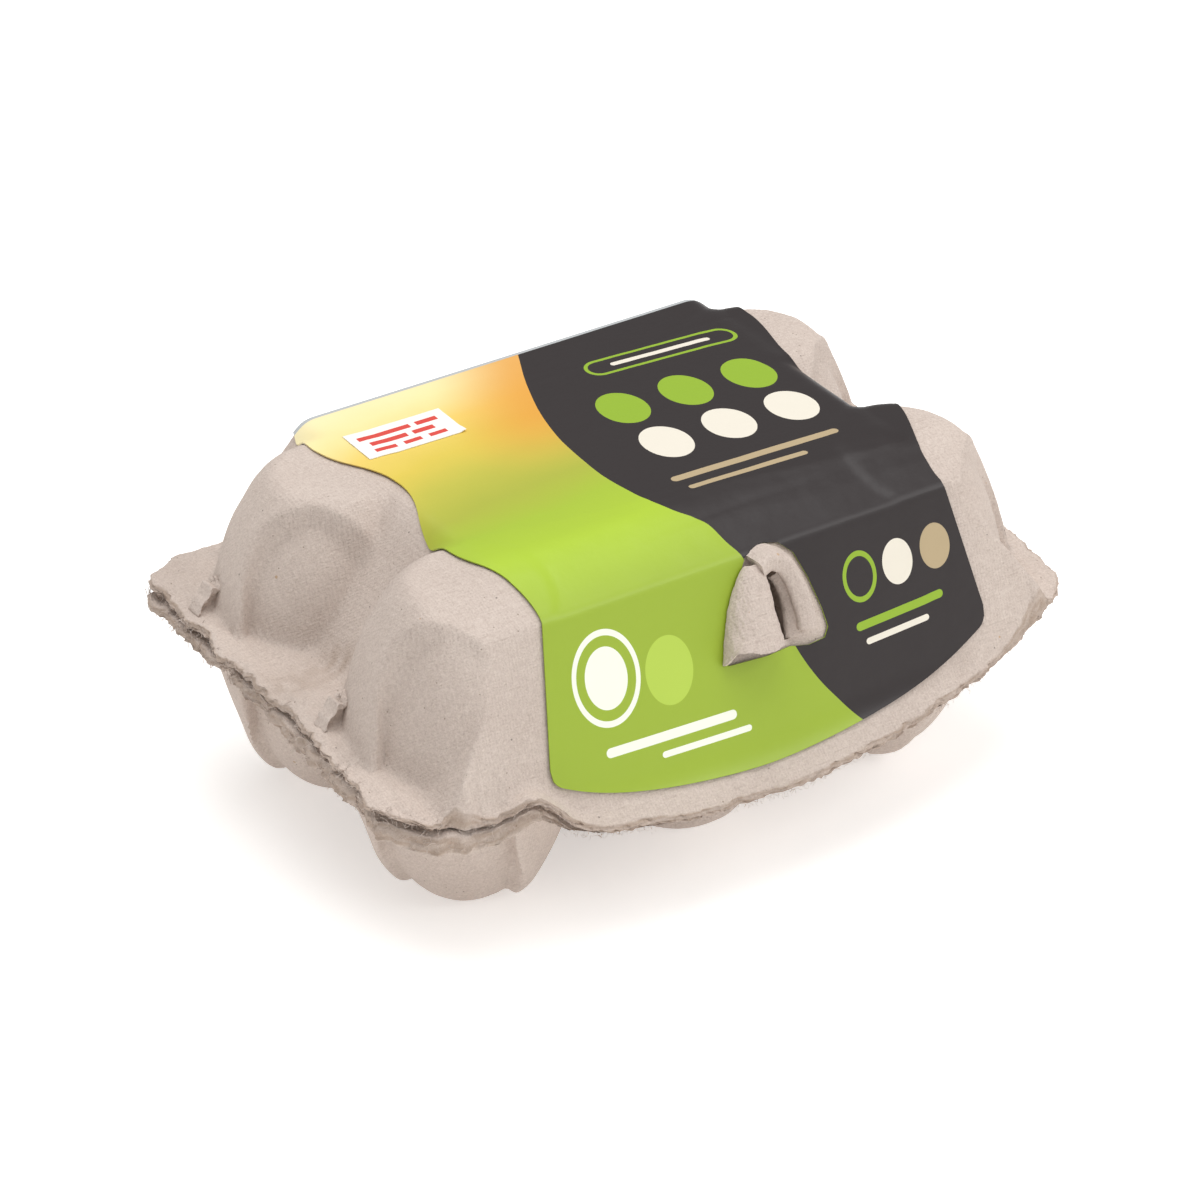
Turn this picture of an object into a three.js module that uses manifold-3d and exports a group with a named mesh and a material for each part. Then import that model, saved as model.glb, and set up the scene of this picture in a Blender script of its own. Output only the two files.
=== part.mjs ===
// A shut six-egg carton of moulded paper pulp, with a die-cut paper label
// stuck over its lid and a small date sticker on the label.
// Millimetres, +Z up. The origin is at the middle of the footprint, on the
// surface that the six feet stand on. +X runs along the hinge, and -Y faces
// the front, where the latch is. A shut carton can't be seen into, so lid and
// tray are one solid, parted round the front and the ends by a thin groove.
import * as THREE from 'three';
import { mergeVertices } from 'three/addons/utils/BufferGeometryUtils.js';
import Module from 'manifold-3d';

const wasm = await Module();
wasm.setup();

// Plan of the flange
const HALF_LENGTH = 74;
const HINGE_Y = 50.5;
const CORNER_CLIP_X = 66;
const CORNER_CLIP_Y = 45.5;
const FRONT_MIDDLE_Y = -50.5;
const FRONT_TIP_Y = -38.5;
const FRONT_BOW = 2.6;
const FRONT_CLIP_X = 69;
const FRONT_CLIP_Y = 4;

// Height of the line where lid and tray meet
const CLOSURE_Z = 36.5;
const CLOSURE_TIP_Z = 32.3;
const CLOSURE_FRONT_Z = 19.4;
const CLOSURE_RISE = 1.75;
const HINGE_RISE = 2.4;
const HINGE_RISE_START_Y = 5;
const SAG_START_Y = 17.5;
const DIP_DEPTH_Y = 24;
const CORNER_RISE = 5.5;
const CORNER_RISE_X = -49;
const CORNER_RISE_WIDTH = 6.5;
const CORNER_RISE_DEPTH = 12;
const FLANGE_THICKNESS = 2.3;
const TIP_THINNING = 1;
const TIP_START_X = 55;
const TIP_END_Y = -34;
const FLANGE_FILLET = 3;
const RIM_THINNING = 1.2;
const THINNING_DEPTH = 6;

// Groove between the two flanges, which bend apart at the left end
const GROOVE_HEIGHT = 0.7;
const GROOVE_REACH = 5;
const GROOVE_OVERHANG = 3;
const CORE_HEIGHT = 60;
const LID_LIFT = 1.2;
const LIFT_START_X = 38;
const LIFT_END_X = 50;
const GAPE_DEPTH = 60;
const TRAY_SAG = 1;
const SAG_SPAN_X = [50, 62];
const SAG_SPAN_Y = [12, -16];

// Middle block of the lid
const TOP_Z = 66.2;
const SHOULDER_Y = -34;
const SHOULDER_Z = 61;
const CHAMFER_RISE = 0.42;
const CHAMFER_ROUND = 1.5;
const FRONT_WALL_RISE = 2.9;
const FRONT_WALL_ROUND = 1.2;
const BACK_RIM_Y = 43.4;
const BACK_RIM_Z = 63;
const BACK_WALL_RISE = 5.5;
const BACK_ROUND = 2;
const BLOCK_MIDDLE_X = 1.5;
const BLOCK_HALF = 47.5;
const BLOCK_END_Z = 61.5;
const BLOCK_END_RISE = 1.5;
const BLOCK_END_ROUND = 5;

// Four end domes of the lid, and the arched panel sunk in each
const DOME_X = 46.5;
const DOME_MIDDLE_Y = 2;
const DOME_HALF_PITCH = 23.1;
const DOME_FOOT_Z = 38;
const DOME_FOOT_RADIUS = 23.4;
const DOME_WALL_RISE = 4.4;
const DOME_SHOULDER_RADIUS = 27.5;
const DOME_SHOULDER_RISE = 1.9;
const DOME_SHOULDER_ROUND = 5;
const DOME_TOP_Z = 65.6;
const DOME_TOP_ROUND = 6;
const DOME_JOIN = 2.5;
const PANEL_DEPTH = 2.2;
const PANEL_TURN = -45;
const PANEL_HALF_WIDTH = 12.6;
const PANEL_LIP = 2.2;
const DOME_ARCH_Z = [47, 61];

// Six cups of the tray, the four at the corners with a sunk panel too
const CUP_X = [-46.5, 0, 46.5];
const CUP_Y = [-18.3, 26.3];
const FOOT_RADIUS = 5.8;
const CUP_RIM_RADIUS = 23.5;
const CUP_DEPTH = 35;
const CUP_BELLY = 2.4;
const CUP_JOIN = 4;
const CUP_ARCH_Z = [11, -6];

// Small upright lugs at both ends, on the lid's flange and under the tray's
const LUG_Y = [-11, 33.2];
const LUG_BACK_X = 62;
const LUG_FRONT_X = 73;
const LUG_HEIGHT = 5.2;
const LUG_THICKNESS = 2.6;
const LUG_ROOT = 1.2;

// Latch, placed on the front wall from a point on the wall at this height
const LATCH_Z = 51.5;
const TONGUE_X = 3.3;
const TONGUE_UP = 0.6;
const TONGUE_LEAN = 6.7;
const TONGUE_LENGTH = 17;
const TONGUE_TOP_RADIUS = 0.9;
const TONGUE_FOOT_RADIUS = 6.1;
const TONGUE_FLATTEN = 0.75;
const HOOD_RAISE = 2;
const HOOD_ROOT = 1;
const HOOD_CORNERS = [
  [4, 9.1], [7, 10.4], [9.8, 9.7], [12.5, 7.2], [14.9, 1.8], [16.7, -4.2],
  [17, -8], [12, -9], [9.2, -8.2], [9.5, -2.2], [8.5, 3.2], [6.6, 6.5],
];
const SLOT_DEPTH = 3;
const SLOT_CORNERS = [[5, 7.6], [8, 3.6], [9.4, -2.2], [8.8, -7.6], [6, -7.6], [4, 0]];
const WINDOW_CORNERS = [
  [-5, -9.6], [-2, 0.9], [2.4, 9.6], [6.4, 11.6], [10.6, 11], [14, 7.8],
  [16.4, 2.2], [18.3, -4.6], [18.4, -9.4], [14, -10.8], [4, -10.4],
];

// Label and sticker
const LABEL_X = 4;
const LABEL_GAP = 0.35;
const LABEL_THICKNESS = 0.45;
const LABEL_FRONT_HALF = 48.3;
const LABEL_WAIST = { left: 43.7, right: 43.2 };
const LABEL_LOBES = { left: [2.6, 3.1], right: [3.1, 1.7] };
const LABEL_LOBE_Y = [-12, 33];
const LABEL_FLARE_Y = 9.4;
const LABEL_WAVE_PITCH = 43.5;
const LABEL_WAVE_PHASE_Y = -9.5;
const LABEL_BACK_Y = 43.2;
const LABEL_BOTTOM_Y = -47.6;
const LABEL_BOTTOM_X = 2;
const LABEL_BOTTOM_CURL = 0.00329;
const LABEL_BOTTOM_POWER = 1.86;
const STICKER_SIZE = [20.4, 10];
const STICKER_CENTRE = [-29.5, 27.5];
const STICKER_TURN = -1.2;
const STICKER_GAP = 0.35;
const STICKER_THICKNESS = 0.4;

// Lattice that carries both faces of the carton
const END_COLUMNS = 15;
const MIDDLE_COLUMNS = 14;
const END_START_X = 42;
const FRONT_ROWS = 6;
const TOP_ROWS = 33;
const CUTTER_HEIGHT = 100;

const PULP = { color: '#cfc6bb', roughness: 0.95, metalness: 0 };
const LABEL_PAPER = { color: '#a8c63a', roughness: 0.45, metalness: 0 };
const STICKER_PAPER = { color: '#f4f1ec', roughness: 0.6, metalness: 0 };

function clamp01(value) {
  return Math.min(1, Math.max(0, value));
}

function softMin(a, b, radius) {
  const mix = clamp01(0.5 + (0.5 * (b - a)) / radius);
  return b + (a - b) * mix - radius * mix * (1 - mix);
}

function softMax(a, b, radius) {
  return -softMin(-a, -b, radius);
}

function smoothStep(start, end, value) {
  const part = clamp01((value - start) / (end - start));
  return part * part * (3 - 2 * part);
}

function frontEdge(x) {
  const reach = clamp01(Math.abs(x) / HALF_LENGTH);
  const corner = clamp01((Math.abs(x) - FRONT_CLIP_X) / (HALF_LENGTH - FRONT_CLIP_X));
  const bow = FRONT_MIDDLE_Y + (FRONT_TIP_Y - FRONT_MIDDLE_Y) * reach ** FRONT_BOW;
  return bow + FRONT_CLIP_Y * corner ** 2;
}

function backEdge(x) {
  const past = Math.max(0, Math.abs(x) - CORNER_CLIP_X) / (HALF_LENGTH - CORNER_CLIP_X);
  return HINGE_Y + (CORNER_CLIP_Y - HINGE_Y) * past;
}

// 1 at the front edge, falling to 0 at the given depth behind it
function nearFront(x, y, depth) {
  return clamp01((frontEdge(x) + depth - y) / depth);
}

// Level of the parting line: highest at the hinge, sagging to the front tips,
// dipping in a smile along the front, and bent up beside the left front cup.
function endLevel(y) {
  const part = clamp01((SAG_START_Y - y) / (SAG_START_Y - FRONT_TIP_Y));
  const rise = HINGE_RISE * smoothStep(HINGE_RISE_START_Y, HINGE_Y, y);
  return CLOSURE_Z + rise - (CLOSURE_Z - CLOSURE_TIP_Z) * part * part;
}

function closureLevel(x, y) {
  const reach = clamp01(Math.abs(x) / HALF_LENGTH);
  const front = CLOSURE_FRONT_Z + (CLOSURE_TIP_Z - CLOSURE_FRONT_Z) * reach ** CLOSURE_RISE;
  const dip = nearFront(x, y, DIP_DEPTH_Y) ** 2;
  const bend = Math.exp(-(((x - CORNER_RISE_X) / CORNER_RISE_WIDTH) ** 2));
  const level = endLevel(y) + (front - endLevel(frontEdge(x))) * dip;
  return level + CORNER_RISE * bend * nearFront(x, y, CORNER_RISE_DEPTH);
}

// The left end bends open towards the front: the parting line rides up with
// the lid, and the tray's underside sags.
function lidLift(x, y) {
  return LID_LIFT * smoothStep(LIFT_START_X, LIFT_END_X, -x) * clamp01((HINGE_Y - y) / GAPE_DEPTH);
}

function traySag(x, y) {
  return TRAY_SAG * smoothStep(...SAG_SPAN_X, -x) * smoothStep(...SAG_SPAN_Y, y);
}

// The lid's rim grows thin at the front tips.
function lidFlange(x, y) {
  const tip = smoothStep(TIP_START_X, HALF_LENGTH, Math.abs(x)) * smoothStep(0, TIP_END_Y, y);
  return FLANGE_THICKNESS - TIP_THINNING * tip;
}

// The tray's rim tapers under the lid's along the front and at the right end.
function rimThinning(x, y) {
  const shut = 1 - smoothStep(LIFT_START_X, LIFT_END_X, -x);
  const front = nearFront(x, y, THINNING_DEPTH) * shut;
  return RIM_THINNING * Math.max(front, smoothStep(HALF_LENGTH - THINNING_DEPTH, HALF_LENGTH, x));
}

// How far an arched panel is sunk at a place given from the middle of its dome
// or cup: out to the end of the carton, and along it. The arch springs from the
// first of the two given heights of the wall and closes at the second.
function panelSink(out, along, height, [springZ, closeZ]) {
  const turn = THREE.MathUtils.degToRad(PANEL_TURN);
  const facing = out * Math.cos(turn) + along * Math.sin(turn) > 0;
  const aside = Math.abs(along * Math.cos(turn) - out * Math.sin(turn));
  const part = clamp01((height - springZ) / (closeZ - springZ));
  const edge = PANEL_HALF_WIDTH * Math.sqrt(1 - part ** 2) - PANEL_LIP * part;
  return facing ? PANEL_DEPTH * (1 - smoothStep(edge - PANEL_LIP, edge, aside)) : 0;
}

function domeProfile(r) {
  const wall = DOME_FOOT_Z + (DOME_FOOT_RADIUS - r) * DOME_WALL_RISE;
  const shoulder = DOME_FOOT_Z + (DOME_SHOULDER_RADIUS - r) * DOME_SHOULDER_RISE;
  return softMin(softMin(wall, shoulder, DOME_SHOULDER_ROUND), DOME_TOP_Z, DOME_TOP_ROUND);
}

function domeHeight(x, y) {
  const out = Math.abs(x) - DOME_X;
  const row = y > DOME_MIDDLE_Y ? 1 : -1;
  const along = y - DOME_MIDDLE_Y - row * DOME_HALF_PITCH;
  const r = Math.hypot(out, along);
  return domeProfile(r + panelSink(out, along, domeProfile(r), DOME_ARCH_Z));
}

function lidHeight(x, y) {
  const chamfer = SHOULDER_Z + (y - SHOULDER_Y) * CHAMFER_RISE;
  const top = softMin(TOP_Z, chamfer, CHAMFER_ROUND);
  const front = SHOULDER_Z + (y - SHOULDER_Y) * FRONT_WALL_RISE;
  const back = BACK_RIM_Z + (BACK_RIM_Y - y) * BACK_WALL_RISE;
  const end = BLOCK_END_Z + (BLOCK_HALF - Math.abs(x - BLOCK_MIDDLE_X)) * BLOCK_END_RISE;
  const block = softMin(softMin(top, back, BACK_ROUND), end, BLOCK_END_ROUND);
  const joined = softMax(block, softMin(domeHeight(x, y), back, BACK_ROUND), DOME_JOIN);
  const walled = softMin(softMin(joined, top, CHAMFER_ROUND), front, FRONT_WALL_ROUND);
  const flange = closureLevel(x, y) + lidLift(x, y) + lidFlange(x, y);
  return softMax(walled, flange, FLANGE_FILLET);
}

function cupProfile(r) {
  const past = Math.max(0, r - FOOT_RADIUS) / (CUP_RIM_RADIUS - FOOT_RADIUS);
  return CUP_DEPTH * past ** CUP_BELLY;
}

function trayHeight(x, y) {
  let level = closureLevel(x, y) - traySag(x, y) - FLANGE_THICKNESS + rimThinning(x, y);
  for (const cupX of CUP_X) {
    for (const cupY of CUP_Y) {
      const out = cupX === 0 ? x : (x - cupX) * Math.sign(cupX);
      const r = Math.hypot(out, y - cupY);
      const sink = cupX === 0 ? 0 : panelSink(out, y - cupY, cupProfile(r), CUP_ARCH_Z);
      level = softMin(level, cupProfile(r + sink), CUP_JOIN);
    }
  }
  return level;
}

function toManifold(geometry) {
  const plain = geometry.index ? geometry.clone() : geometry;
  plain.deleteAttribute('normal');
  plain.deleteAttribute('uv');
  const merged = mergeVertices(plain, 1e-4);
  const mesh = new wasm.Mesh({
    numProp: 3,
    vertProperties: new Float32Array(merged.attributes.position.array),
    triVerts: new Uint32Array(merged.index.array),
  });
  return new wasm.Manifold(mesh);
}

function toGeometry(solid) {
  const mesh = solid.getMesh();
  const geometry = new THREE.BufferGeometry();
  geometry.setAttribute('position', new THREE.BufferAttribute(mesh.vertProperties, 3));
  geometry.setIndex(new THREE.BufferAttribute(mesh.triVerts, 1));
  geometry.computeVertexNormals();
  return geometry;
}

// Lattice lines: closer together at the ends, where the domes are
function columnX(index) {
  const count = 2 * END_COLUMNS + MIDDLE_COLUMNS;
  if (index <= END_COLUMNS) {
    return -HALF_LENGTH + ((HALF_LENGTH - END_START_X) * index) / END_COLUMNS;
  }
  if (index >= count - END_COLUMNS) {
    return -columnX(count - index);
  }
  return END_START_X * ((2 * (index - END_COLUMNS)) / MIDDLE_COLUMNS - 1);
}

function rowY(index, x) {
  if (index <= FRONT_ROWS) {
    return THREE.MathUtils.lerp(frontEdge(x), SHOULDER_Y, index / FRONT_ROWS);
  }
  return THREE.MathUtils.lerp(SHOULDER_Y, backEdge(x), (index - FRONT_ROWS) / TOP_ROWS);
}

// A box whose lattice is laid over the plan, with its two faces given by
// functions that return a point for each lattice line crossing.
function latticeSolid(upper, lower) {
  const columns = 2 * END_COLUMNS + MIDDLE_COLUMNS;
  const rows = FRONT_ROWS + TOP_ROWS;
  const geometry = new THREE.BoxGeometry(columns, rows, 2, columns, rows, 1);
  const position = geometry.attributes.position;
  for (let i = 0; i < position.count; i += 1) {
    const x = columnX(Math.round(position.getX(i) + columns / 2));
    const y = rowY(Math.round(position.getY(i) + rows / 2), x);
    const point = position.getZ(i) > 0 ? upper(x, y) : lower(x, y);
    position.setXYZ(i, point.x, point.y, point.z);
  }
  return toManifold(geometry);
}

function lidPoint(x, y) {
  return new THREE.Vector3(x, y, lidHeight(x, y));
}

function trayPoint(x, y) {
  return new THREE.Vector3(x, y, trayHeight(x, y));
}

// The lid's face moved out along its own normal
function raisedLidPoint(distance) {
  const step = 0.5;
  return (x, y) => {
    const slopeX = (lidHeight(x + step, y) - lidHeight(x - step, y)) / (2 * step);
    const slopeY = (lidHeight(x, y + step) - lidHeight(x, y - step)) / (2 * step);
    const normal = new THREE.Vector3(-slopeX, -slopeY, 1).normalize();
    return lidPoint(x, y).addScaledVector(normal, distance);
  };
}

function deepPoint(x, y) {
  return new THREE.Vector3(x, y, -FLANGE_THICKNESS);
}

// A thin curved slab along the parting line, kept to the rim by taking out
// the middle, which leaves the hinge whole.
function partingGroove() {
  const columns = 24;
  const slab = new THREE.BoxGeometry(2, 2, 2, columns, 12, 1);
  const position = slab.attributes.position;
  for (let i = 0; i < position.count; i += 1) {
    const x = position.getX(i) * (HALF_LENGTH + GROOVE_OVERHANG);
    const y = THREE.MathUtils.mapLinear(
      position.getY(i), -1, 1, frontEdge(x) - GROOVE_OVERHANG, backEdge(x) + GROOVE_OVERHANG);
    const middle = closureLevel(x, y) + lidLift(x, y);
    position.setXYZ(i, x, y, middle + (position.getZ(i) * GROOVE_HEIGHT) / 2);
  }
  const core = new THREE.BoxGeometry(2, 2, CORE_HEIGHT, columns, 1, 1);
  const inner = core.attributes.position;
  for (let i = 0; i < inner.count; i += 1) {
    const x = inner.getX(i) * (HALF_LENGTH - GROOVE_REACH);
    const y = inner.getY(i) > 0 ? HINGE_Y + GROOVE_REACH : frontEdge(x) + GROOVE_REACH;
    inner.setXYZ(i, x, y, inner.getZ(i) + CLOSURE_Z);
  }
  return toManifold(slab).subtract(toManifold(core));
}

// A lug is a small wedge that leans on the dome and ends near the rim.
function lug(side, y, up) {
  const shape = new THREE.Shape();
  shape.moveTo(LUG_BACK_X, 0);
  shape.lineTo(LUG_FRONT_X, 0);
  shape.lineTo(LUG_FRONT_X - 0.5, LUG_HEIGHT * 0.4);
  shape.lineTo(LUG_FRONT_X - 4, LUG_HEIGHT * 0.9);
  shape.lineTo(LUG_BACK_X + 4, LUG_HEIGHT);
  shape.lineTo(LUG_BACK_X, LUG_HEIGHT);
  const fin = new THREE.ExtrudeGeometry(shape, { depth: LUG_THICKNESS, bevelEnabled: false });
  fin.translate(0, 0, -LUG_THICKNESS / 2);
  fin.rotateX(Math.PI / 2);
  const end = side * HALF_LENGTH;
  const parted = up > 0 ? lidLift(end, y) : traySag(end, y);
  const wedge = new THREE.Matrix4().makeScale(side, 1, up);
  wedge.setPosition(0, y, closureLevel(end, y) + up * (LUG_ROOT + parted));
  fin.applyMatrix4(wedge);
  if (side * up < 0) {
    flipFaces(fin);
  }
  return toManifold(fin);
}

function flipFaces(geometry) {
  const position = geometry.attributes.position;
  for (let i = 0; i < position.count; i += 3) {
    const a = new THREE.Vector3().fromBufferAttribute(position, i + 1);
    const b = new THREE.Vector3().fromBufferAttribute(position, i + 2);
    position.setXYZ(i + 1, b.x, b.y, b.z);
    position.setXYZ(i + 2, a.x, a.y, a.z);
  }
}

// Frame on the sloping front wall: x along it, y up it, z out of it
function onFrontWall(geometry) {
  geometry.rotateX(Math.atan(FRONT_WALL_RISE));
  const y = SHOULDER_Y - (SHOULDER_Z - LATCH_Z) / FRONT_WALL_RISE;
  geometry.translate(0, y, LATCH_Z);
  return geometry;
}

// A block on the front wall with a rounded outline through the given corners
function blockOnWall(corners, from, to) {
  const points = corners.map(([x, up]) => new THREE.Vector3(x, up, 0));
  const outline = new THREE.CatmullRomCurve3(points, true).getPoints(corners.length * 3);
  const shape = new THREE.Shape(outline.slice(0, -1));
  const block = new THREE.ExtrudeGeometry(shape, { depth: to - from, bevelEnabled: false });
  block.translate(0, 0, from);
  return toManifold(onFrontWall(block));
}

function tongue() {
  const cone = new THREE.CylinderGeometry(
    TONGUE_TOP_RADIUS, TONGUE_FOOT_RADIUS, TONGUE_LENGTH, 18, 3);
  cone.scale(1, 1, TONGUE_FLATTEN);
  cone.rotateZ(-THREE.MathUtils.degToRad(TONGUE_LEAN));
  cone.translate(TONGUE_X, TONGUE_UP, 0);
  return toManifold(onFrontWall(cone));
}

// Plan outline of the label: waisted beside the domes, a lobe in each valley
function labelHalfWidth(y, side) {
  const along = clamp01((y - LABEL_LOBE_Y[0]) / (LABEL_LOBE_Y[1] - LABEL_LOBE_Y[0]));
  const lobe = THREE.MathUtils.lerp(...LABEL_LOBES[side], along);
  const wave = Math.cos((2 * Math.PI * (Math.max(y, SHOULDER_Y) - LABEL_WAVE_PHASE_Y))
    / LABEL_WAVE_PITCH);
  const upper = LABEL_WAIST[side] + lobe * (1 + wave);
  const flare = clamp01((SHOULDER_Y - y) / LABEL_FLARE_Y);
  return THREE.MathUtils.lerp(upper, LABEL_FRONT_HALF, flare);
}

function labelBottom(x) {
  const curl = LABEL_BOTTOM_CURL * Math.abs(x - LABEL_BOTTOM_X) ** LABEL_BOTTOM_POWER;
  return LABEL_BOTTOM_Y + curl;
}

function labelSide(side, steps) {
  const points = [];
  const flip = side === 'left' ? -1 : 1;
  const start = labelBottom(LABEL_X + flip * LABEL_FRONT_HALF);
  for (let i = 0; i <= steps; i += 1) {
    const y = THREE.MathUtils.lerp(start, LABEL_BACK_Y, i / steps);
    points.push([LABEL_X + flip * labelHalfWidth(y, side), y]);
  }
  return points;
}

function labelPrism() {
  const bottomSteps = 10;
  const bottom = [];
  for (let i = 1; i < bottomSteps; i += 1) {
    const x = LABEL_X + LABEL_FRONT_HALF * ((2 * i) / bottomSteps - 1);
    bottom.push([x, labelBottom(x)]);
  }
  const outline = [...bottom, ...labelSide('right', 28), ...labelSide('left', 28).reverse()];
  const shape = new THREE.Shape(outline.map(([x, y]) => new THREE.Vector2(x, y)));
  return toManifold(new THREE.ExtrudeGeometry(shape, {
    depth: CUTTER_HEIGHT,
    bevelEnabled: false,
  }));
}

function shell(inner, outer) {
  return latticeSolid(raisedLidPoint(outer), deepPoint)
    .subtract(latticeSolid(raisedLidPoint(inner), deepPoint));
}

function cartonSolid() {
  let solid = latticeSolid(lidPoint, trayPoint).subtract(partingGroove());
  for (const side of [-1, 1]) {
    for (const y of LUG_Y) {
      solid = solid.add(lug(side, y, 1)).add(lug(side, y, -1));
    }
  }
  return solid
    .subtract(blockOnWall(SLOT_CORNERS, -SLOT_DEPTH, HOOD_RAISE))
    .add(blockOnWall(HOOD_CORNERS, -HOOD_ROOT, HOOD_RAISE))
    .add(tongue());
}

function labelSolid() {
  return shell(LABEL_GAP, LABEL_GAP + LABEL_THICKNESS)
    .intersect(labelPrism())
    .subtract(blockOnWall(WINDOW_CORNERS, -SLOT_DEPTH, SLOT_DEPTH));
}

function stickerSolid() {
  const [width, depth] = STICKER_SIZE;
  const [x, y] = STICKER_CENTRE;
  const sheet = new THREE.BoxGeometry(width, depth, STICKER_THICKNESS);
  sheet.rotateZ(THREE.MathUtils.degToRad(STICKER_TURN));
  const base = lidHeight(x, y) + LABEL_GAP + LABEL_THICKNESS + STICKER_GAP;
  sheet.translate(x, y, base + STICKER_THICKNESS / 2);
  return sheet;
}

function node(name, geometry, look) {
  const mesh = new THREE.Mesh(geometry, new THREE.MeshStandardMaterial(look));
  mesh.name = name;
  return mesh;
}

const eggCarton = new THREE.Group();
eggCarton.add(node('carton', toGeometry(cartonSolid()), PULP));
eggCarton.add(node('label', toGeometry(labelSolid()), LABEL_PAPER));
eggCarton.add(node('date_sticker', stickerSolid(), STICKER_PAPER));

export default eggCarton;
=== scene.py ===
"""A shut six-egg carton of moulded pulp with a printed paper label over its lid.

Sizes in the shape functions are millimetres in the frame of the part: +Z up,
the feet on Z = 0, the hinge along +X at the back and the latch facing -Y.
Every mesh is written in metres.
"""
import math

import bmesh
import bpy
import numpy as np
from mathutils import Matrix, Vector


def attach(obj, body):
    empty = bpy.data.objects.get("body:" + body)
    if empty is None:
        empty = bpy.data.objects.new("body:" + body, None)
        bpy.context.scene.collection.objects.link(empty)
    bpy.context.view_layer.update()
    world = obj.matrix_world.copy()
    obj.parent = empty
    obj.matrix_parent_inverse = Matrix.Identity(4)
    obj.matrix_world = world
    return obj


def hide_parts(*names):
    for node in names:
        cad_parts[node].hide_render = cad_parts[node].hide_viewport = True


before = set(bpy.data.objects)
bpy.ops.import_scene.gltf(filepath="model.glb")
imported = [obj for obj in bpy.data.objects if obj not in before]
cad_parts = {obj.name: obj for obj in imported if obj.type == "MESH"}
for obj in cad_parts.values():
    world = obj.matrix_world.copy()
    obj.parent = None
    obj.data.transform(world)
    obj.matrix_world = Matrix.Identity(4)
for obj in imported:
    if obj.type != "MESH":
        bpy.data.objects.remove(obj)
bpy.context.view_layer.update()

bl_info = {
    "name": "Pulp egg carton",
    "version": (1, 0, 0),
    "blender": (4, 5, 0),
    "location": "View3D > Sidebar > Egg carton",
    "description": "Builds a shut six-egg carton of moulded pulp with its paper label",
    "category": "Add Mesh",
}

MM = 0.001

# Plan of the flange
HALF_LENGTH = 74.0
HINGE_Y = 50.5
CORNER_CLIP_X = 66.0
CORNER_CLIP_Y = 45.5
FRONT_MIDDLE_Y = -50.5
FRONT_TIP_Y = -38.5
FRONT_BOW = 2.6
FRONT_CLIP_X = 69.0
FRONT_CLIP_Y = 4.0

# Height of the line where lid and tray meet
CLOSURE_Z = 36.5
CLOSURE_TIP_Z = 32.3
CLOSURE_FRONT_Z = 19.4
CLOSURE_RISE = 1.75
HINGE_RISE = 2.4
HINGE_RISE_START_Y = 5.0
SAG_START_Y = 17.5
DIP_DEPTH_Y = 24.0
FLANGE_FILLET = 3.0
TIP_THINNING = 1.0
TIP_START_X = 55.0
TIP_END_Y = -34.0
FRONT_THINNING = 1.8
THINNING_DEPTH = 6.0
CORNER_RISE = 5.5
CORNER_RISE_X = -49.0
CORNER_RISE_WIDTH = 6.5
CORNER_RISE_DEPTH = 12.0
LID_LIFT = 1.2
LIFT_START_X = 38.0
LIFT_END_X = 50.0
GAPE_DEPTH = 60.0
TRAY_SAG = 1.0
SAG_SPAN_X = (50.0, 62.0)
SAG_SPAN_Y = (12.0, -16.0)
PARTING_GAP = 1.2
TORN_STAIN = 0.62
# Darker brown band at the foot of the left valley: its strength, height and end
VALLEY_FOOT_TINT = 0.55
VALLEY_FOOT_TINT_Z = 41.5
VALLEY_FOOT_TINT_END_X = -55
TRAY_INSET = 2.6
TRAY_END_INSET = 4.5

# Middle block of the lid
TOP_Z = 66.2
SHOULDER_Y = -34.0
SHOULDER_Z = 61.0
CHAMFER_RISE = 0.42
CHAMFER_ROUND = 1.5
FRONT_WALL_RISE = 2.9
FRONT_WALL_ROUND = 1.2
BACK_RIM_Y = 43.4
BACK_RIM_Z = 63.0
BACK_WALL_RISE = 5.5
BLOCK_MIDDLE_X = 1.5
BLOCK_HALF = 47.5
BLOCK_END_Z = 61.5
BLOCK_END_RISE = 1.5

# Four end domes of the lid, and the oval panel sunk in each
DOME_X = 46.5
DOME_MIDDLE_Y = 2.0
DOME_HALF_PITCH = 23.1
DOME_FOOT_Z = 38.0
DOME_FOOT_RADIUS = 23.4
DOME_WALL_RISE = 4.4
DOME_SHOULDER_RADIUS = 27.5
DOME_SHOULDER_RISE = 1.9
DOME_TOP_Z = 65.6
PANEL_DEPTH = 2.4
PANEL_TURN = -45.0
PANEL_HALF_WIDTH = 12.6
PANEL_LIP = 1.1
PANEL_BEAD = 0.55
PANEL_BEAD_WIDTH = 1.3
DOME_ARCH_Z = (50.0, 64.7)

# Six cups of the tray
CUP_X = (-46.5, 0.0, 46.5)
CUP_Y = (-18.3, 26.3)
FOOT_RADIUS = 5.8
CUP_RIM_RADIUS = 23.5
CUP_DEPTH = 35.0
CUP_BELLY = 2.4
CUP_JOIN = 4.0
CUP_ARCH_Z = (11.0, -6.0)

# Lugs: the crest gives shares of the length and of the height
LUG_Y = (-11.0, 33.2)
LUG_BACK_X = 62.5
LUG_SHIFT_Y = 0.6
LUG_OFFSET = 1.6
LOWER_LUG_SCALE = 1.35
LUG_CREST_X = (63.2, 69.0)
LUG_CREST_DROP = 0.4
LUG_LENGTH = 10.2
LUG_CREST = (
    (0, 0.96), (0.30, 1.02), (0.46, 1.08), (0.66, 0.98), (0.78, 0.62), (0.90, 0.34), (1.0, 0.12),
)
LUG_FIBRES = 70

# Loose fibres, and where along X they grow to their full length
FIBRES_BACK_Y = 47.5
FIBRES_TORN_X = (-45.0, -70.0)

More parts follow.
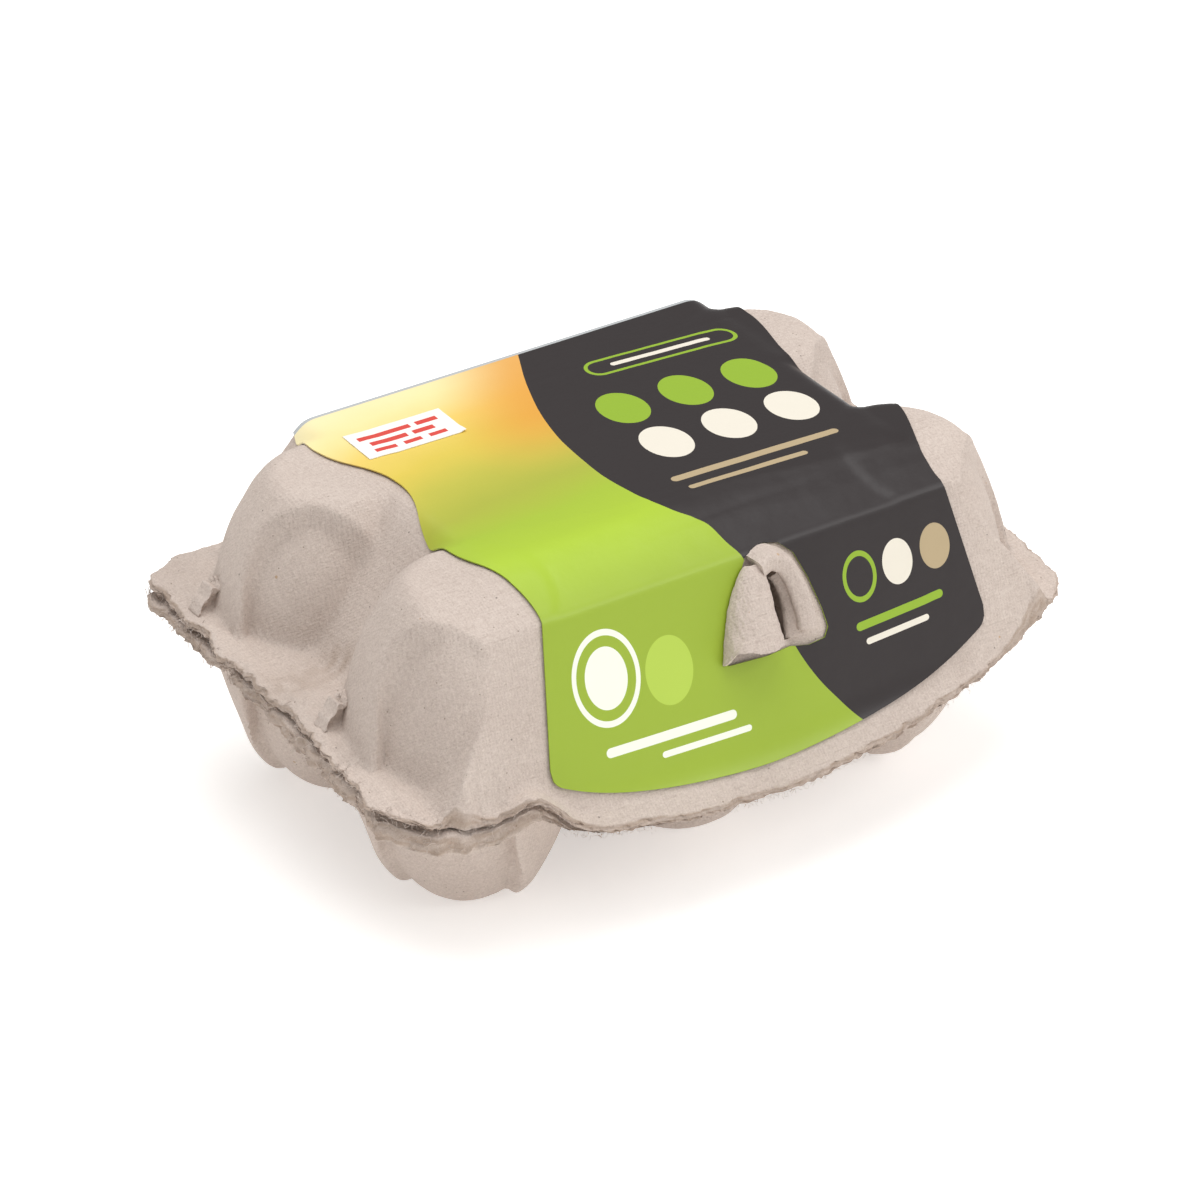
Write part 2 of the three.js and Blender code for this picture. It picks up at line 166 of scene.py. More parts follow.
# Latch, in the frame of the front wall: along it, and up it. Each band of the
# hood has its share of the hood's width, its thickness, its distance out of the
# wall, and its line: along, up and the share of its width there
LATCH_Z = 51.5
TONGUE_TOP = (3.7, 7.9)
TONGUE_FOOT = (0.9, -7.4)
TONGUE_TOP_RADIUS = 1.3
TONGUE_FOOT_RADIUS = 6.1
TONGUE_FLATTEN = 0.75
TONGUE_BOW = 0.6
TONGUE_TURN = (-118, 100)
HOOD_ROUGHNESS = 0.5
HOOD_BANDS = (
    ("hood_band", 1.0, 3.6, 1.0,
     ((4.2, 7.4, 0.2), (6.9, 8.2, 0.36), (9.8, 6.6, 0.58), (11.2, 4.0, 0.85), (12.0, 1.2, 1.0),
      (12.7, -3.2, 1.08), (12.6, -6.5, 1.1))),
    ("hood_ply", 0.42, 3.0, 0.2,
     ((8.6, 5.0, 0.15), (9.5, 3.4, 0.3), (10.2, 1.4, 0.45), (10.5, -0.6, 0.65),
      (10.6, -2.9, 0.9), (10.4, -5.6, 1.15), (10.3, -7.8, 1.35))),
)
SLOT_DEPTH = 14.0
SLOT_REACH = 3.0
SLOT_SPAN_X = (2, 11)
SLOT_SPAN_UP = (-9, 8)
SLOT = (
    (4.4, 7.2), (6.8, 7.8), (9.2, 6.2), (10.6, 2.4), (10.8, -3.0), (10.2, -8.0), (2.6, -8.2),
    (2.6, 0.0),
)
WINDOW_REACH = 8.0
WINDOW = (
    (-4.4, -9.0), (-3.0, -3.8), (-1.4, 0.9), (0.9, 5.6), (3.0, 9.2), (5.4, 10.3), (7.6, 10.6),
    (10.4, 9.9), (13.2, 7.2), (15.3, 2.0), (17.1, -4.4), (17.7, -8.2), (16.6, -9.9),
    (13.0, -10.2), (9.0, -9.3), (4.0, -9.6),
)

# Label and sticker
LABEL_X = 4.0
LABEL_GAP = 0.3
LABEL_THICKNESS = 0.25
LABEL_FRONT_HALF = 48.3
LABEL_NARROW_HALF = 43.2
LABEL_LEFT_EXTRA = 0.5
LOBE_Y = (-12, 33)
LOBES_LEFT = (2.6, 3.1)
LOBES_RIGHT = (3.1, 1.7)
LABEL_FLARE_Y = 9.4
LABEL_WAVE_PITCH = 43.5
LABEL_WAVE_PHASE_Y = -9.5
LABEL_BACK_Y = 43.2
LABEL_BOTTOM_Y = -47.6
LABEL_BOTTOM_X = 2.0
LABEL_BOTTOM_CURL = 0.00329
LABEL_BOTTOM_POWER = 1.86
LABEL_CORNER = 2.2
LABEL_SKEW = 0.03
STICKER_GAP = 0.06
STICKER_THICKNESS = 0.14
STICKER_CURL = 0.35
STICKER_SIZE = (20.4, 10.0)
STICKER_CENTRE = (-29.5, 27.5)
STICKER_TURN = math.radians(-1.2)

# Unevenness of the pulp and the paper: height and pitch of each octave
TORN_EDGE = ((0.5, 6.5), (0.32, 2.1), (0.18, 0.9))
RIM_WAVES = ((0.55, 6.0), (0.34, 2.2), (0.22, 0.9))
PLY_FRAY = ((1.0, 0.9), (0.6, 0.45))
PULP_SKIN = ((0.14, 5.5), (0.07, 1.7))
PAPER_SKIN = ((0.05, 9.0), (0.025, 3.0))
LUG_SKIN = ((0.30, 1.5), (0.16, 0.6))
PLY_SHARES = (0.1, 0.24, 0.38, 0.52, 0.66, 0.8, 0.92)
PLY_BULGE = 0.42

# Creases across the label: middle, slope, width and height of each
LABEL_CREASES = (
    (-26.9, -0.046, 1.5, 0.17), (-25.2, 0.016, 0.55, -0.13), (-17.6, -0.148, 1.1, 0.13),
    (31.0, 0.03, 0.6, -0.05),
)

# Specks in the pulp: cells per mm, radius in cells, share of cells left out, colour
PULP_SPECKS = (
    (0.52, 0.085, 0.74, "#7A6A58"), (0.36, 0.065, 0.82, "#4E4640"), (0.24, 0.075, 0.82, "#B08A5C"),
)

# Studio, in metres: name, place, width and watts of each soft light, then the
# camera's place round its anchor and how far from the anchor it looks
SOFT_LIGHTS = (
    ("front_right_softbox", (0.55, -0.75, 0.75), 0.7, 4.8),
    ("overhead_softbox", (-0.05, 0.1, 1.2), 1.1, 12.2),
    ("left_fill", (-1.1, -0.3, 0.45), 0.8, 0.25),
)
LIGHT_AIM = (0, 0, 0.035)
ROOM_LIGHT = 0.36
FLOOR_HALF = 4
CAMERA_AZIMUTH = math.radians(-34.06)
CAMERA_ELEVATION = math.radians(31.02)
CAMERA_DISTANCE = 0.9937
CAMERA_LENS = 160.3
CAMERA_ANCHOR = (0.004, 0.0025, 0.033)
AIM_LEFT = 0.00595
AIM_DOWN = 0.0004

# How fine the surfaces are drawn
COLUMNS = 232
FRONT_ROWS = 60
TOP_ROWS = 130
LABEL_COLUMNS = 176
LABEL_FRONT_ROWS = 78
LABEL_TOP_ROWS = 128
TONGUE_COLUMNS = 104
TONGUE_ROWS = 110
HOOD_STEPS = 40


# Small helpers

def clamp01(value):
    return np.clip(value, 0.0, 1.0)


def soft_min(a, b, radius):
    mix = clamp01(0.5 + 0.5 * (b - a) / radius)
    return b + (a - b) * mix - radius * mix * (1 - mix)


def soft_max(a, b, radius):
    return -soft_min(-a, -b, radius)


def smooth_step(start, end, value):
    part = clamp01((value - start) / (end - start))
    return part * part * (3 - 2 * part)


def uneven(x, y, pitch, seed):
    """Smooth seeded unevenness from -1 to 1, with bumps about pitch apart."""
    size = 128
    table = np.random.default_rng(seed).uniform(-1.0, 1.0, (size, size))
    gx = np.asarray(x, float) / pitch + 37.3
    gy = np.asarray(y, float) / pitch + 11.7
    gx, gy = np.broadcast_arrays(gx, gy)
    ix = np.floor(gx).astype(int)
    iy = np.floor(gy).astype(int)
    fx = gx - ix
    fy = gy - iy
    fx = fx * fx * (3 - 2 * fx)
    fy = fy * fy * (3 - 2 * fy)
    ix %= size
    iy %= size
    jx = (ix + 1) % size
    jy = (iy + 1) % size
    low = table[ix, iy] * (1 - fx) + table[jx, iy] * fx
    high = table[ix, jy] * (1 - fx) + table[jx, jy] * fx
    return low * (1 - fy) + high * fy


def octaves(x, y, table, seed):
    """Sum of unevenness: the table gives height and pitch of each octave."""
    return sum(height * uneven(x, y, pitch, seed + i) for i, (height, pitch) in enumerate(table))


def srgb(code):
    """An sRGB hex colour as linear RGBA."""
    parts = [int(code[i:i + 2], 16) / 255 for i in (1, 3, 5)]
    linear = [c / 12.92 if c <= 0.04045 else ((c + 0.055) / 1.055) ** 2.4 for c in parts]
    return (*linear, 1.0)


# Shape of the carton

def front_edge(x):
    reach = clamp01(np.abs(x) / HALF_LENGTH)
    corner = clamp01((np.abs(x) - FRONT_CLIP_X) / (HALF_LENGTH - FRONT_CLIP_X))
    bow = FRONT_MIDDLE_Y + (FRONT_TIP_Y - FRONT_MIDDLE_Y) * reach ** FRONT_BOW
    return bow + FRONT_CLIP_Y * corner ** 2


def back_edge(x):
    past = np.maximum(0, np.abs(x) - CORNER_CLIP_X) / (HALF_LENGTH - CORNER_CLIP_X)
    return HINGE_Y + (CORNER_CLIP_Y - HINGE_Y) * past


def end_level(y):
    part = clamp01((SAG_START_Y - y) / (SAG_START_Y - FRONT_TIP_Y))
    rise = HINGE_RISE * smooth_step(HINGE_RISE_START_Y, HINGE_Y, y)
    return CLOSURE_Z + rise - (CLOSURE_Z - CLOSURE_TIP_Z) * part * part


def near_front(x, y, depth):
    return clamp01((front_edge(x) + depth - y) / depth)


def closure_level(x, y):
    reach = clamp01(np.abs(x) / HALF_LENGTH)
    front = CLOSURE_FRONT_Z + (CLOSURE_TIP_Z - CLOSURE_FRONT_Z) * reach ** CLOSURE_RISE
    dip = near_front(x, y, DIP_DEPTH_Y)
    level = end_level(y) + (front - end_level(front_edge(x))) * dip * dip
    bump = np.exp(-((x - CORNER_RISE_X) / CORNER_RISE_WIDTH) ** 2)
    return level + CORNER_RISE * bump * near_front(x, y, CORNER_RISE_DEPTH)


def lid_lift(x, y):
    """How far the lid rides up at its left end and front left corner."""
    left = smooth_step(LIFT_START_X, LIFT_END_X, -x)
    return LID_LIFT * left * clamp01((HINGE_Y - y) / GAPE_DEPTH)


def tray_sag(x, y):
    """How far the tray's torn rim hangs down at the front left corner."""
    return TRAY_SAG * smooth_step(*SAG_SPAN_X, -x) * smooth_step(*SAG_SPAN_Y, y)


def end_thinning(x):
    """The tray's rim tapers out of sight at the right end."""
    return FRONT_THINNING * smooth_step(HALF_LENGTH - THINNING_DEPTH, HALF_LENGTH, x)


def panel_sink(out, along, height, arch):
    """Depth of the arched panel sunk in a dome or cup, and the bead round it.

    The arch springs from the first of the two heights of the wall and closes at
    the second.
    """
    turn = math.radians(PANEL_TURN)
    facing = out * math.cos(turn) + along * math.sin(turn) > 0
    aside = np.abs(along * math.cos(turn) - out * math.sin(turn))
    part = clamp01((height - arch[0]) / (arch[1] - arch[0]))
    edge = PANEL_HALF_WIDTH * np.sqrt(1 - part ** 2) - PANEL_LIP * part
    sink = PANEL_DEPTH * (1 - smooth_step(edge - PANEL_LIP, edge + 0.4 * PANEL_LIP, aside))
    bead = np.exp(-((aside - edge - PANEL_BEAD_WIDTH) / PANEL_BEAD_WIDTH) ** 2)
    return np.where(facing, sink - PANEL_BEAD * bead * (1 - part ** 8), 0.0)


def dome_profile(r):
    wall = DOME_FOOT_Z + (DOME_FOOT_RADIUS - r) * DOME_WALL_RISE
    shoulder = DOME_FOOT_Z + (DOME_SHOULDER_RADIUS - r) * DOME_SHOULDER_RISE
    return soft_min(soft_min(wall, shoulder, 5), DOME_TOP_Z, 6)


def dome_height(x, y):
    out = np.abs(x) - DOME_X
    row = np.where(y > DOME_MIDDLE_Y, 1.0, -1.0)
    along = y - DOME_MIDDLE_Y - row * DOME_HALF_PITCH
    r = np.hypot(out, along)
    return dome_profile(r + panel_sink(out, along, dome_profile(r), DOME_ARCH_Z))


def lid_height(x, y, flange):
    chamfer = SHOULDER_Z + (y - SHOULDER_Y) * CHAMFER_RISE
    top = soft_min(TOP_Z, chamfer, CHAMFER_ROUND)
    front = SHOULDER_Z + (y - SHOULDER_Y) * FRONT_WALL_RISE
    back = BACK_RIM_Z + (BACK_RIM_Y - y) * BACK_WALL_RISE
    end = BLOCK_END_Z + (BLOCK_HALF - np.abs(x - BLOCK_MIDDLE_X)) * BLOCK_END_RISE
    block = soft_min(soft_min(top, back, 2), end, 5)
    joined = soft_max(block, soft_min(dome_height(x, y), back, 2), 2.5)
    body = soft_min(joined, top, 1)
    walled = soft_min(body, front, FRONT_WALL_ROUND)
    tip = smooth_step(TIP_START_X, HALF_LENGTH, np.abs(x)) * smooth_step(0, TIP_END_Y, y)
    level = closure_level(x, y) + lid_lift(x, y) + flange - TIP_THINNING * tip
    return soft_max(walled, level, FLANGE_FILLET)


def cup_profile(r):
    past = np.maximum(0, r - FOOT_RADIUS) / (CUP_RIM_RADIUS - FOOT_RADIUS)
    return CUP_DEPTH * past ** CUP_BELLY


def tray_height(x, y, flange):
    hidden = 1 - smooth_step(LIFT_START_X, LIFT_END_X, -x)
    thin = np.maximum(FRONT_THINNING * near_front(x, y, THINNING_DEPTH) * hidden, end_thinning(x))
    level = closure_level(x, y) - tray_sag(x, y) - flange + thin
    for cup_x in CUP_X:
        for cup_y in CUP_Y:
            out = x if cup_x == 0 else (x - cup_x) * np.sign(cup_x)
            r = np.hypot(out, y - cup_y)
            if cup_x != 0:
                r = r + panel_sink(out, y - cup_y, cup_profile(r), CUP_ARCH_Z)
            level = soft_min(level, cup_profile(r), CUP_JOIN)
    return level


def label_bottom(x):
    """Front end of the label, in a smile like the rim's."""
    return LABEL_BOTTOM_Y + LABEL_BOTTOM_CURL * np.abs(x - LABEL_BOTTOM_X) ** LABEL_BOTTOM_POWER


def label_half_width(y, side):
    """Half width of the label: waisted beside the domes, a lobe in each valley."""
    lobe = np.interp(y, LOBE_Y, LOBES_LEFT if side < 0 else LOBES_RIGHT)
    waist = LABEL_NARROW_HALF + (LABEL_LEFT_EXTRA if side < 0 else 0.0)
    wave = np.cos(2 * np.pi * (y - LABEL_WAVE_PHASE_Y) / LABEL_WAVE_PITCH)
    upper = waist + lobe * (1 + wave)
    start = waist + lobe * (1 + math.cos(2 * math.pi * (SHOULDER_Y - LABEL_WAVE_PHASE_Y)
                                         / LABEL_WAVE_PITCH))
    flare = (LABEL_FRONT_HALF - start) * clamp01((SHOULDER_Y - y) / LABEL_FLARE_Y)
    return np.where(y < SHOULDER_Y, start + flare, upper)


# Meshes from point lattices

def new_object(name, data):
    """A new object in the scene's collection."""
    obj = bpy.data.objects.new(name, data)
    bpy.context.scene.collection.objects.link(obj)
    return obj


def mesh_object(name, points, edges, faces):
    """A new object with a mesh of its own, from points in metres."""
    mesh = bpy.data.meshes.new(name)
    mesh.from_pydata(points, edges, faces)
    mesh.update()
    return new_object(name, mesh)


def plan_lattice():
    """Plan points of the carton's lattice, rows from front to back."""
    x = np.tile(np.linspace(-HALF_LENGTH, HALF_LENGTH, COLUMNS + 1), (FRONT_ROWS + TOP_ROWS + 1, 1))
    part = np.linspace(0, 1, FRONT_ROWS + 1)[:, None]
    front = front_edge(x[0]) + (SHOULDER_Y - front_edge(x[0])) * part
    part = np.linspace(0, 1, TOP_ROWS + 1)[1:, None]
    top = SHOULDER_Y + (back_edge(x[0]) - SHOULDER_Y) * part
    return x, np.vstack([front, top])


def tear_edges(x, y, amount, seed):
    """Moves lattice points near the rim in and out, as a torn pulp edge does."""
    rough = 1 + 0.9 * smooth_step(30, 70, -x)

    def tear(along, where):
        return amount * rough * octaves(along, where, TORN_EDGE, seed)

    def fade(distance):
        return 1 - smooth_step(0, 4.5, distance)

    end = tear(y, np.sign(x) * 50) * fade(HALF_LENGTH - np.abs(x))
    front = tear(x, -90.0) * fade(y - front_edge(x))
    back = 0.45 * tear(x, 90.0) * fade(back_edge(x) - y)
    return x + np.sign(x) * end, y - front + back


def rim_waves(x, y, seed):
    """How far the rim waves up and down: most at the torn left end."""
    edge = np.minimum(HALF_LENGTH - np.abs(x), y - front_edge(x))
    near = 1 - smooth_step(0, 7, edge)
    torn = 0.25 + 0.75 * smooth_step(30, 72, -x)
    return near * torn * octaves(x, y, RIM_WAVES, seed)


def tray_outline(x, y, amount):
    """The tray's plan: its rim hides under the lid's, but for the gaping corner."""
    tx, ty = tear_edges(x, y, amount, 31)
    shown = smooth_step(34, 54, -x)
    front = TRAY_INSET * (1 - shown) * (1 - smooth_step(0, 9, y - front_edge(x)))
    end = TRAY_END_INSET * (x > 0) * (1 - smooth_step(0, 9, HALF_LENGTH - x))
    return tx - end, ty + front


def rim_of(lattice):
    """The lattice's outline points, counter-clockwise seen from above."""
    return np.concatenate([
        lattice[0, :-1], lattice[:-1, -1], lattice[-1, :0:-1], lattice[:0:-1, 0]])


def closed_body(name, upper, lower, rims=()):
    """Mesh object of the closed body between two lattices, in metres.

    rims are loops of outline points between the upper and the lower face.
    """
    rows, columns = upper.shape[:2]
    index = np.arange(rows * columns).reshape(rows, columns)
    quads = np.stack([index[:-1, :-1], index[:-1, 1:], index[1:, 1:], index[1:, :-1]], -1)
    quads = quads.reshape(-1, 4)
    points = [upper.reshape(-1, 3), lower.reshape(-1, 3), *rims]
    faces = [quads, quads[:, ::-1] + rows * columns]
    loops = [rim_of(index)]
    start = 2 * rows * columns
    for rim in rims:
        loops.append(np.arange(start, start + len(rim)))
        start += len(rim)
    loops.append(rim_of(index) + rows * columns)
    for above, below in zip(loops, loops[1:]):
        faces.append(np.stack([below, np.roll(below, -1), np.roll(above, -1), above], -1))
    return mesh_object(name, np.concatenate(points) * MM, [], np.concatenate(faces).tolist())


def soften(obj, angle):
    """Smooth shading, with edges sharper than the angle kept crisp."""
    obj.data.shade_smooth()
    obj.data.set_sharp_from_angle(angle=math.radians(angle))


def lattice(x, y, z):
    return np.stack([x, y, np.broadcast_to(z, x.shape)], -1)


def rim_loops(upper, lower, seed):
    """Rings of outline points down a torn edge, each frayed in and out."""
    top = rim_of(upper)
    foot = rim_of(lower)
    ahead = np.roll(top, -1, axis=0) - np.roll(top, 1, axis=0)
    out = np.stack([ahead[:, 1], -ahead[:, 0]], -1)
    out /= np.linalg.norm(out, axis=1)[:, None]
    travel = np.cumsum(np.linalg.norm(ahead[:, :2], axis=1)) / 2
    loops = []
    (coarse, coarse_pitch), (fine, fine_pitch) = PLY_FRAY
    for step, share in enumerate(PLY_SHARES):
        ring = top * (1 - share) + foot * share
        fray = coarse * uneven(travel, step * 0.8, coarse_pitch, seed)
        fray = fray + fine * uneven(travel, step * 1.3, fine_pitch, seed + 1)
        push = PLY_BULGE * (0.5 + 0.5 * math.sin(math.pi * share) + fray)
        ring[:, :2] += out * push[:, None]
        loops.append(ring)
    return loops


def bake(obj):
    """Replaces a live object by its evaluated mesh and takes the modifiers away."""
    depsgraph = bpy.context.evaluated_depsgraph_get()
    mesh = bpy.data.meshes.new_from_object(obj.evaluated_get(depsgraph))
    obj.modifiers.clear()
    obj.data = mesh
    return obj


def add(tree, kind, inputs=None, **settings):
    """Adds a node. Settings are its own; an input takes a value, a socket or a node,
    which stands for its first output."""
    node = tree.nodes.new(kind)
    for key, value in settings.items():
        setattr(node, key, value)
    for key, value in (inputs or {}).items():
        if isinstance(value, bpy.types.Node):
            value = value.outputs[0]
        if isinstance(value, bpy.types.NodeSocket):
            tree.links.new(value, node.inputs[key])
        else:
            node.inputs[key].default_value = value
    return node


def finish_piece(obj, material, slot, *nodes):
    """Gives a piece its material and its place in the frame."""
    obj.data.materials.clear()
    obj.data.materials.append(material)
    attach(obj, "root")
    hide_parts(*nodes)


# Materials

def new_material(name):
    """An empty node material and its tree."""
    material = bpy.data.materials.new(name)
    material.use_nodes = True
    material.node_tree.nodes.clear()
    return material, material.node_tree


def moulded_pulp(looks):
    """Recycled paper pulp, sucked onto a wire screen and dried: matt and chalky,
    with the diagonal print of the screen, soft clumps and dark and tan specks."""
    material, tree = new_material("Moulded pulp")
    place = add(tree, "ShaderNodeTexCoord")
    mm = add(tree, "ShaderNodeVectorMath", {0: place.outputs["Object"], 1: (1000.0,) * 3},
             operation="MULTIPLY")
    wander = add(tree, "ShaderNodeTexNoise", {"Vector": mm, "Scale": 0.35, "Detail": 2.0})
    drift = add(tree, "ShaderNodeMath", {0: wander, 1: 5.0}, operation="MULTIPLY")
    turns = 2 * math.pi / (looks.weave_pitch / MM)
    threads = []
    for direction in ((0.74, 0.55, 0.62), (-0.7, 0.5, 0.66)):
        along = add(tree, "ShaderNodeVectorMath", {0: mm, 1: direction}, operation="DOT_PRODUCT")
        phase = add(tree, "ShaderNodeMath", {0: along.outputs[1], 1: turns, 2: drift},
                    operation="MULTIPLY_ADD")
        threads.append(add(tree, "ShaderNodeMath", {0: phase}, operation="SINE"))
    weave = add(tree, "ShaderNodeMath", {0: threads[0], 1: threads[1]}, operation="MULTIPLY")
    clumps = add(tree, "ShaderNodeTexNoise",
                 {"Vector": mm, "Scale": 1.4, "Detail": 4.0, "Roughness": 0.65})
    clouds = add(tree, "ShaderNodeTexNoise", {"Vector": mm, "Scale": 0.055, "Detail": 3.0})
    grain = add(tree, "ShaderNodeTexNoise", {"Vector": mm, "Scale": 3.4, "Detail": 2.0})

    shade = add(tree, "ShaderNodeMath", {0: weave, 1: 0.02}, operation="MULTIPLY")
    for noise, amount in ((clumps, 0.36), (clouds, 0.18), (grain, 0.36)):
        centred = add(tree, "ShaderNodeMath", {0: noise, 1: 0.5}, operation="SUBTRACT")
        shade = add(tree, "ShaderNodeMath", {0: centred, 1: amount, 2: shade},
                    operation="MULTIPLY_ADD")
    level = add(tree, "ShaderNodeMath", {0: shade, 1: 0.5}, operation="ADD")
    ramp = add(tree, "ShaderNodeValToRGB", {0: level})
    ramp.color_ramp.elements[0].position = 0.25
    ramp.color_ramp.elements[0].color = looks.pulp_dark
    ramp.color_ramp.elements[1].position = 0.75
    ramp.color_ramp.elements[1].color = looks.pulp_light
    colour = ramp.outputs[0]

    layers = []
    for scale, radius, rarity, tint in PULP_SPECKS:
        cells = add(tree, "ShaderNodeTexVoronoi", {"Vector": mm, "Scale": scale})
        near = add(tree, "ShaderNodeMath", {0: cells.outputs["Distance"], 1: radius},
                   operation="LESS_THAN")
        pick = add(tree, "ShaderNodeSeparateColor", {0: cells.outputs["Color"]})
        rare = add(tree, "ShaderNodeMath", {0: pick, 1: rarity}, operation="GREATER_THAN")
        mask = add(tree, "ShaderNodeMath", {0: near, 1: rare}, operation="MULTIPLY")
        mask = add(tree, "ShaderNodeMath", {0: mask, 1: 0.62}, operation="MULTIPLY")
        layers.append((mask, srgb(tint)))

    stretched = add(tree, "ShaderNodeMapping",
                    {"Vector": mm, "Rotation": (0.6, 0.5, 0.9), "Scale": (0.16, 1.5, 1.5)})
    fibres = add(tree, "ShaderNodeTexVoronoi", {"Vector": stretched, "Scale": 0.62})
    near = add(tree, "ShaderNodeMath", {0: fibres.outputs["Distance"], 1: 0.14},
               operation="LESS_THAN")
    near = add(tree, "ShaderNodeMath", {0: near, 1: 0.35}, operation="MULTIPLY")
    # Brown tint: the real stain of the torn edges, a darker band at the foot of the left valley,
    # and painted shade on the slot's walls behind the tongue
    stain_and_shade_amount = add(tree, "ShaderNodeAttribute", attribute_name="stain_and_shade")
    layers += [(near, looks.pulp_dark), (stain_and_shade_amount.outputs["Fac"], srgb("#8E745C"))]
    for mask, tint in layers:
        colour = add(tree, "ShaderNodeMix", {0: mask, 6: colour, 7: tint},
                     data_type="RGBA").outputs[2]

    height = add(tree, "ShaderNodeMath", {0: weave, 1: 0.2}, operation="MULTIPLY")
    for noise, amount in ((clumps, 1.5), (grain, 0.9)):
        height = add(tree, "ShaderNodeMath", {0: noise, 1: amount, 2: height},
                     operation="MULTIPLY_ADD")
    bump = add(tree, "ShaderNodeBump", {"Height": height, "Strength": 0.55, "Distance": 0.00022})
    skin = add(tree, "ShaderNodeBsdfPrincipled",
               {"Base Color": colour, "Normal": bump, "Roughness": 0.93,
                "Specular IOR Level": 0.25})
    add(tree, "ShaderNodeOutputMaterial", {0: skin})
    return material


def printed_paper(looks):
    """Coated label paper, printed in flat fields and varnished: smooth and half
    glossy, with a soft mottle where it lies on the uneven pulp."""
    material, tree = new_material("Coated label paper")
    flat = add(tree, "ShaderNodeUVMap", uv_map="flat")
    parts = add(tree, "ShaderNodeSeparateXYZ", {0: flat})
    across = parts.outputs[0]
    along = parts.outputs[1]

    # Ground colours of the left side, from the back edge to the front
    blend = add(tree, "ShaderNodeTexNoise", {"Vector": flat, "Scale": 9.0, "Detail": 3.0})
    sway = add(tree, "ShaderNodeMath", {0: across, 1: -0.16, 2: along}, operation="MULTIPLY_ADD")
    sway = add(tree, "ShaderNodeMath", {0: blend, 1: 0.06, 2: sway}, operation="MULTIPLY_ADD")
    bands = add(tree, "ShaderNodeValToRGB", {0: sway})
    stops = (
        (0.00, looks.green), (0.26, looks.green), (0.37, looks.green_bright),
        (0.46, srgb("#A3BC33")), (0.53, srgb("#A9AF3C")), (0.60, srgb("#BDB845")),
        (0.68, srgb("#D9C24E")), (0.75, srgb("#EBCD6A")), (0.83, srgb("#F3E3A4")),
        (1.00, srgb("#F6EFD2")),
    )
    ramp = bands.color_ramp
    while len(ramp.elements) < len(stops):
        ramp.elements.new(0.5)
    for element, (position, tint) in zip(ramp.elements, stops):
        element.position = position
        element.color = tint
    colour = bands.outputs[0]

    # The edge of the dark field runs in a long double bend
    edge = add(tree, "ShaderNodeFloatCurve", {1: along})
    curve = edge.mapping.curves[0]
    for spot, value in LABEL_EDGE[1:-1]:
        curve.points.new(spot, value)
    curve.points[0].location = LABEL_EDGE[0]
    curve.points[-1].location = LABEL_EDGE[-1]
    edge.mapping.update()
    past = add(tree, "ShaderNodeMath", {0: across, 1: edge}, operation="GREATER_THAN")

    # A warm glow beside it, at the back
    beside = add(tree, "ShaderNodeMath", {0: edge, 1: across}, operation="SUBTRACT")
    close = add(tree, "ShaderNodeMapRange", {0: beside, 1: 0.0, 2: 0.11, 3: 1.0, 4: 0.0},
                interpolation_type="SMOOTHSTEP")
    behind = add(tree, "ShaderNodeMapRange", {0: along, 1: 0.56, 2: 0.74, 3: 0.0, 4: 0.85},
                 interpolation_type="SMOOTHSTEP")
    glow = add(tree, "ShaderNodeMath", {0: close, 1: behind}, operation="MULTIPLY")
    layers = [(glow, srgb("#DF9A3A")), (past, looks.charcoal)]

    # Egg ovals, bars and a pill, each filled or an outline
    sheet = add(tree, "ShaderNodeMapping",
                {"Vector": flat, "Location": (-0.5 * LABEL_SPAN, 0.0, 0.0),
                 "Scale": (LABEL_SPAN, LABEL_RUN, 1.0)})
    for centre, radii, stretch, turn, tint, width in LABEL_MOTIFS:
        local = add(tree, "ShaderNodeMapping",
                    {"Vector": sheet, "Location": (*centre, 0.0), "Rotation": (0, 0, turn),
                     "Scale": (*radii, 1.0)}, vector_type="TEXTURE")
        if stretch:
            folded = add(tree, "ShaderNodeVectorMath", {0: local}, operation="ABSOLUTE")
            shrunk = add(tree, "ShaderNodeVectorMath",
                         {0: folded, 1: (stretch / radii[0], 0.0, 0.0)}, operation="SUBTRACT")
            local = add(tree, "ShaderNodeVectorMath", {0: shrunk, 1: (0.0,) * 3},
                        operation="MAXIMUM")
        size = add(tree, "ShaderNodeVectorMath", {0: local}, operation="LENGTH")
        if width:
            mask = add(tree, "ShaderNodeMath", {0: size.outputs[1], 1: 1.0, 2: width},
                       operation="COMPARE")
        else:
            mask = add(tree, "ShaderNodeMath", {0: size.outputs[1], 1: 1.0}, operation="LESS_THAN")
        layers.append((mask, srgb(tint)))

    # The turned-under back edge shows the plain back of the paper
    place = add(tree, "ShaderNodeTexCoord")
    spot = add(tree, "ShaderNodeSeparateXYZ", {0: place.outputs["Object"]})
    back = add(tree, "ShaderNodeMath",
               {0: spot.outputs[1], 1: (LABEL_BACK_Y - LABEL_BACK_STRIP) * MM},
               operation="GREATER_THAN")
    layers.append((back, srgb("#B9BCBD")))
    for mask, tint in layers:
        colour = add(tree, "ShaderNodeMix", {0: mask, 6: colour, 7: tint},
                     data_type="RGBA").outputs[2]

    mottle = add(tree, "ShaderNodeTexNoise",
                 {"Vector": place.outputs["Object"], "Scale": 420.0, "Detail": 3.0})
    bump = add(tree, "ShaderNodeBump", {"Height": mottle, "Strength": 0.18, "Distance": 0.0003})
    skin = add(tree, "ShaderNodeBsdfPrincipled",
               {"Base Color": colour, "Normal": bump, "Roughness": 0.42,
                "Specular IOR Level": 0.45})
    add(tree, "ShaderNodeOutputMaterial", {0: skin})
    return material


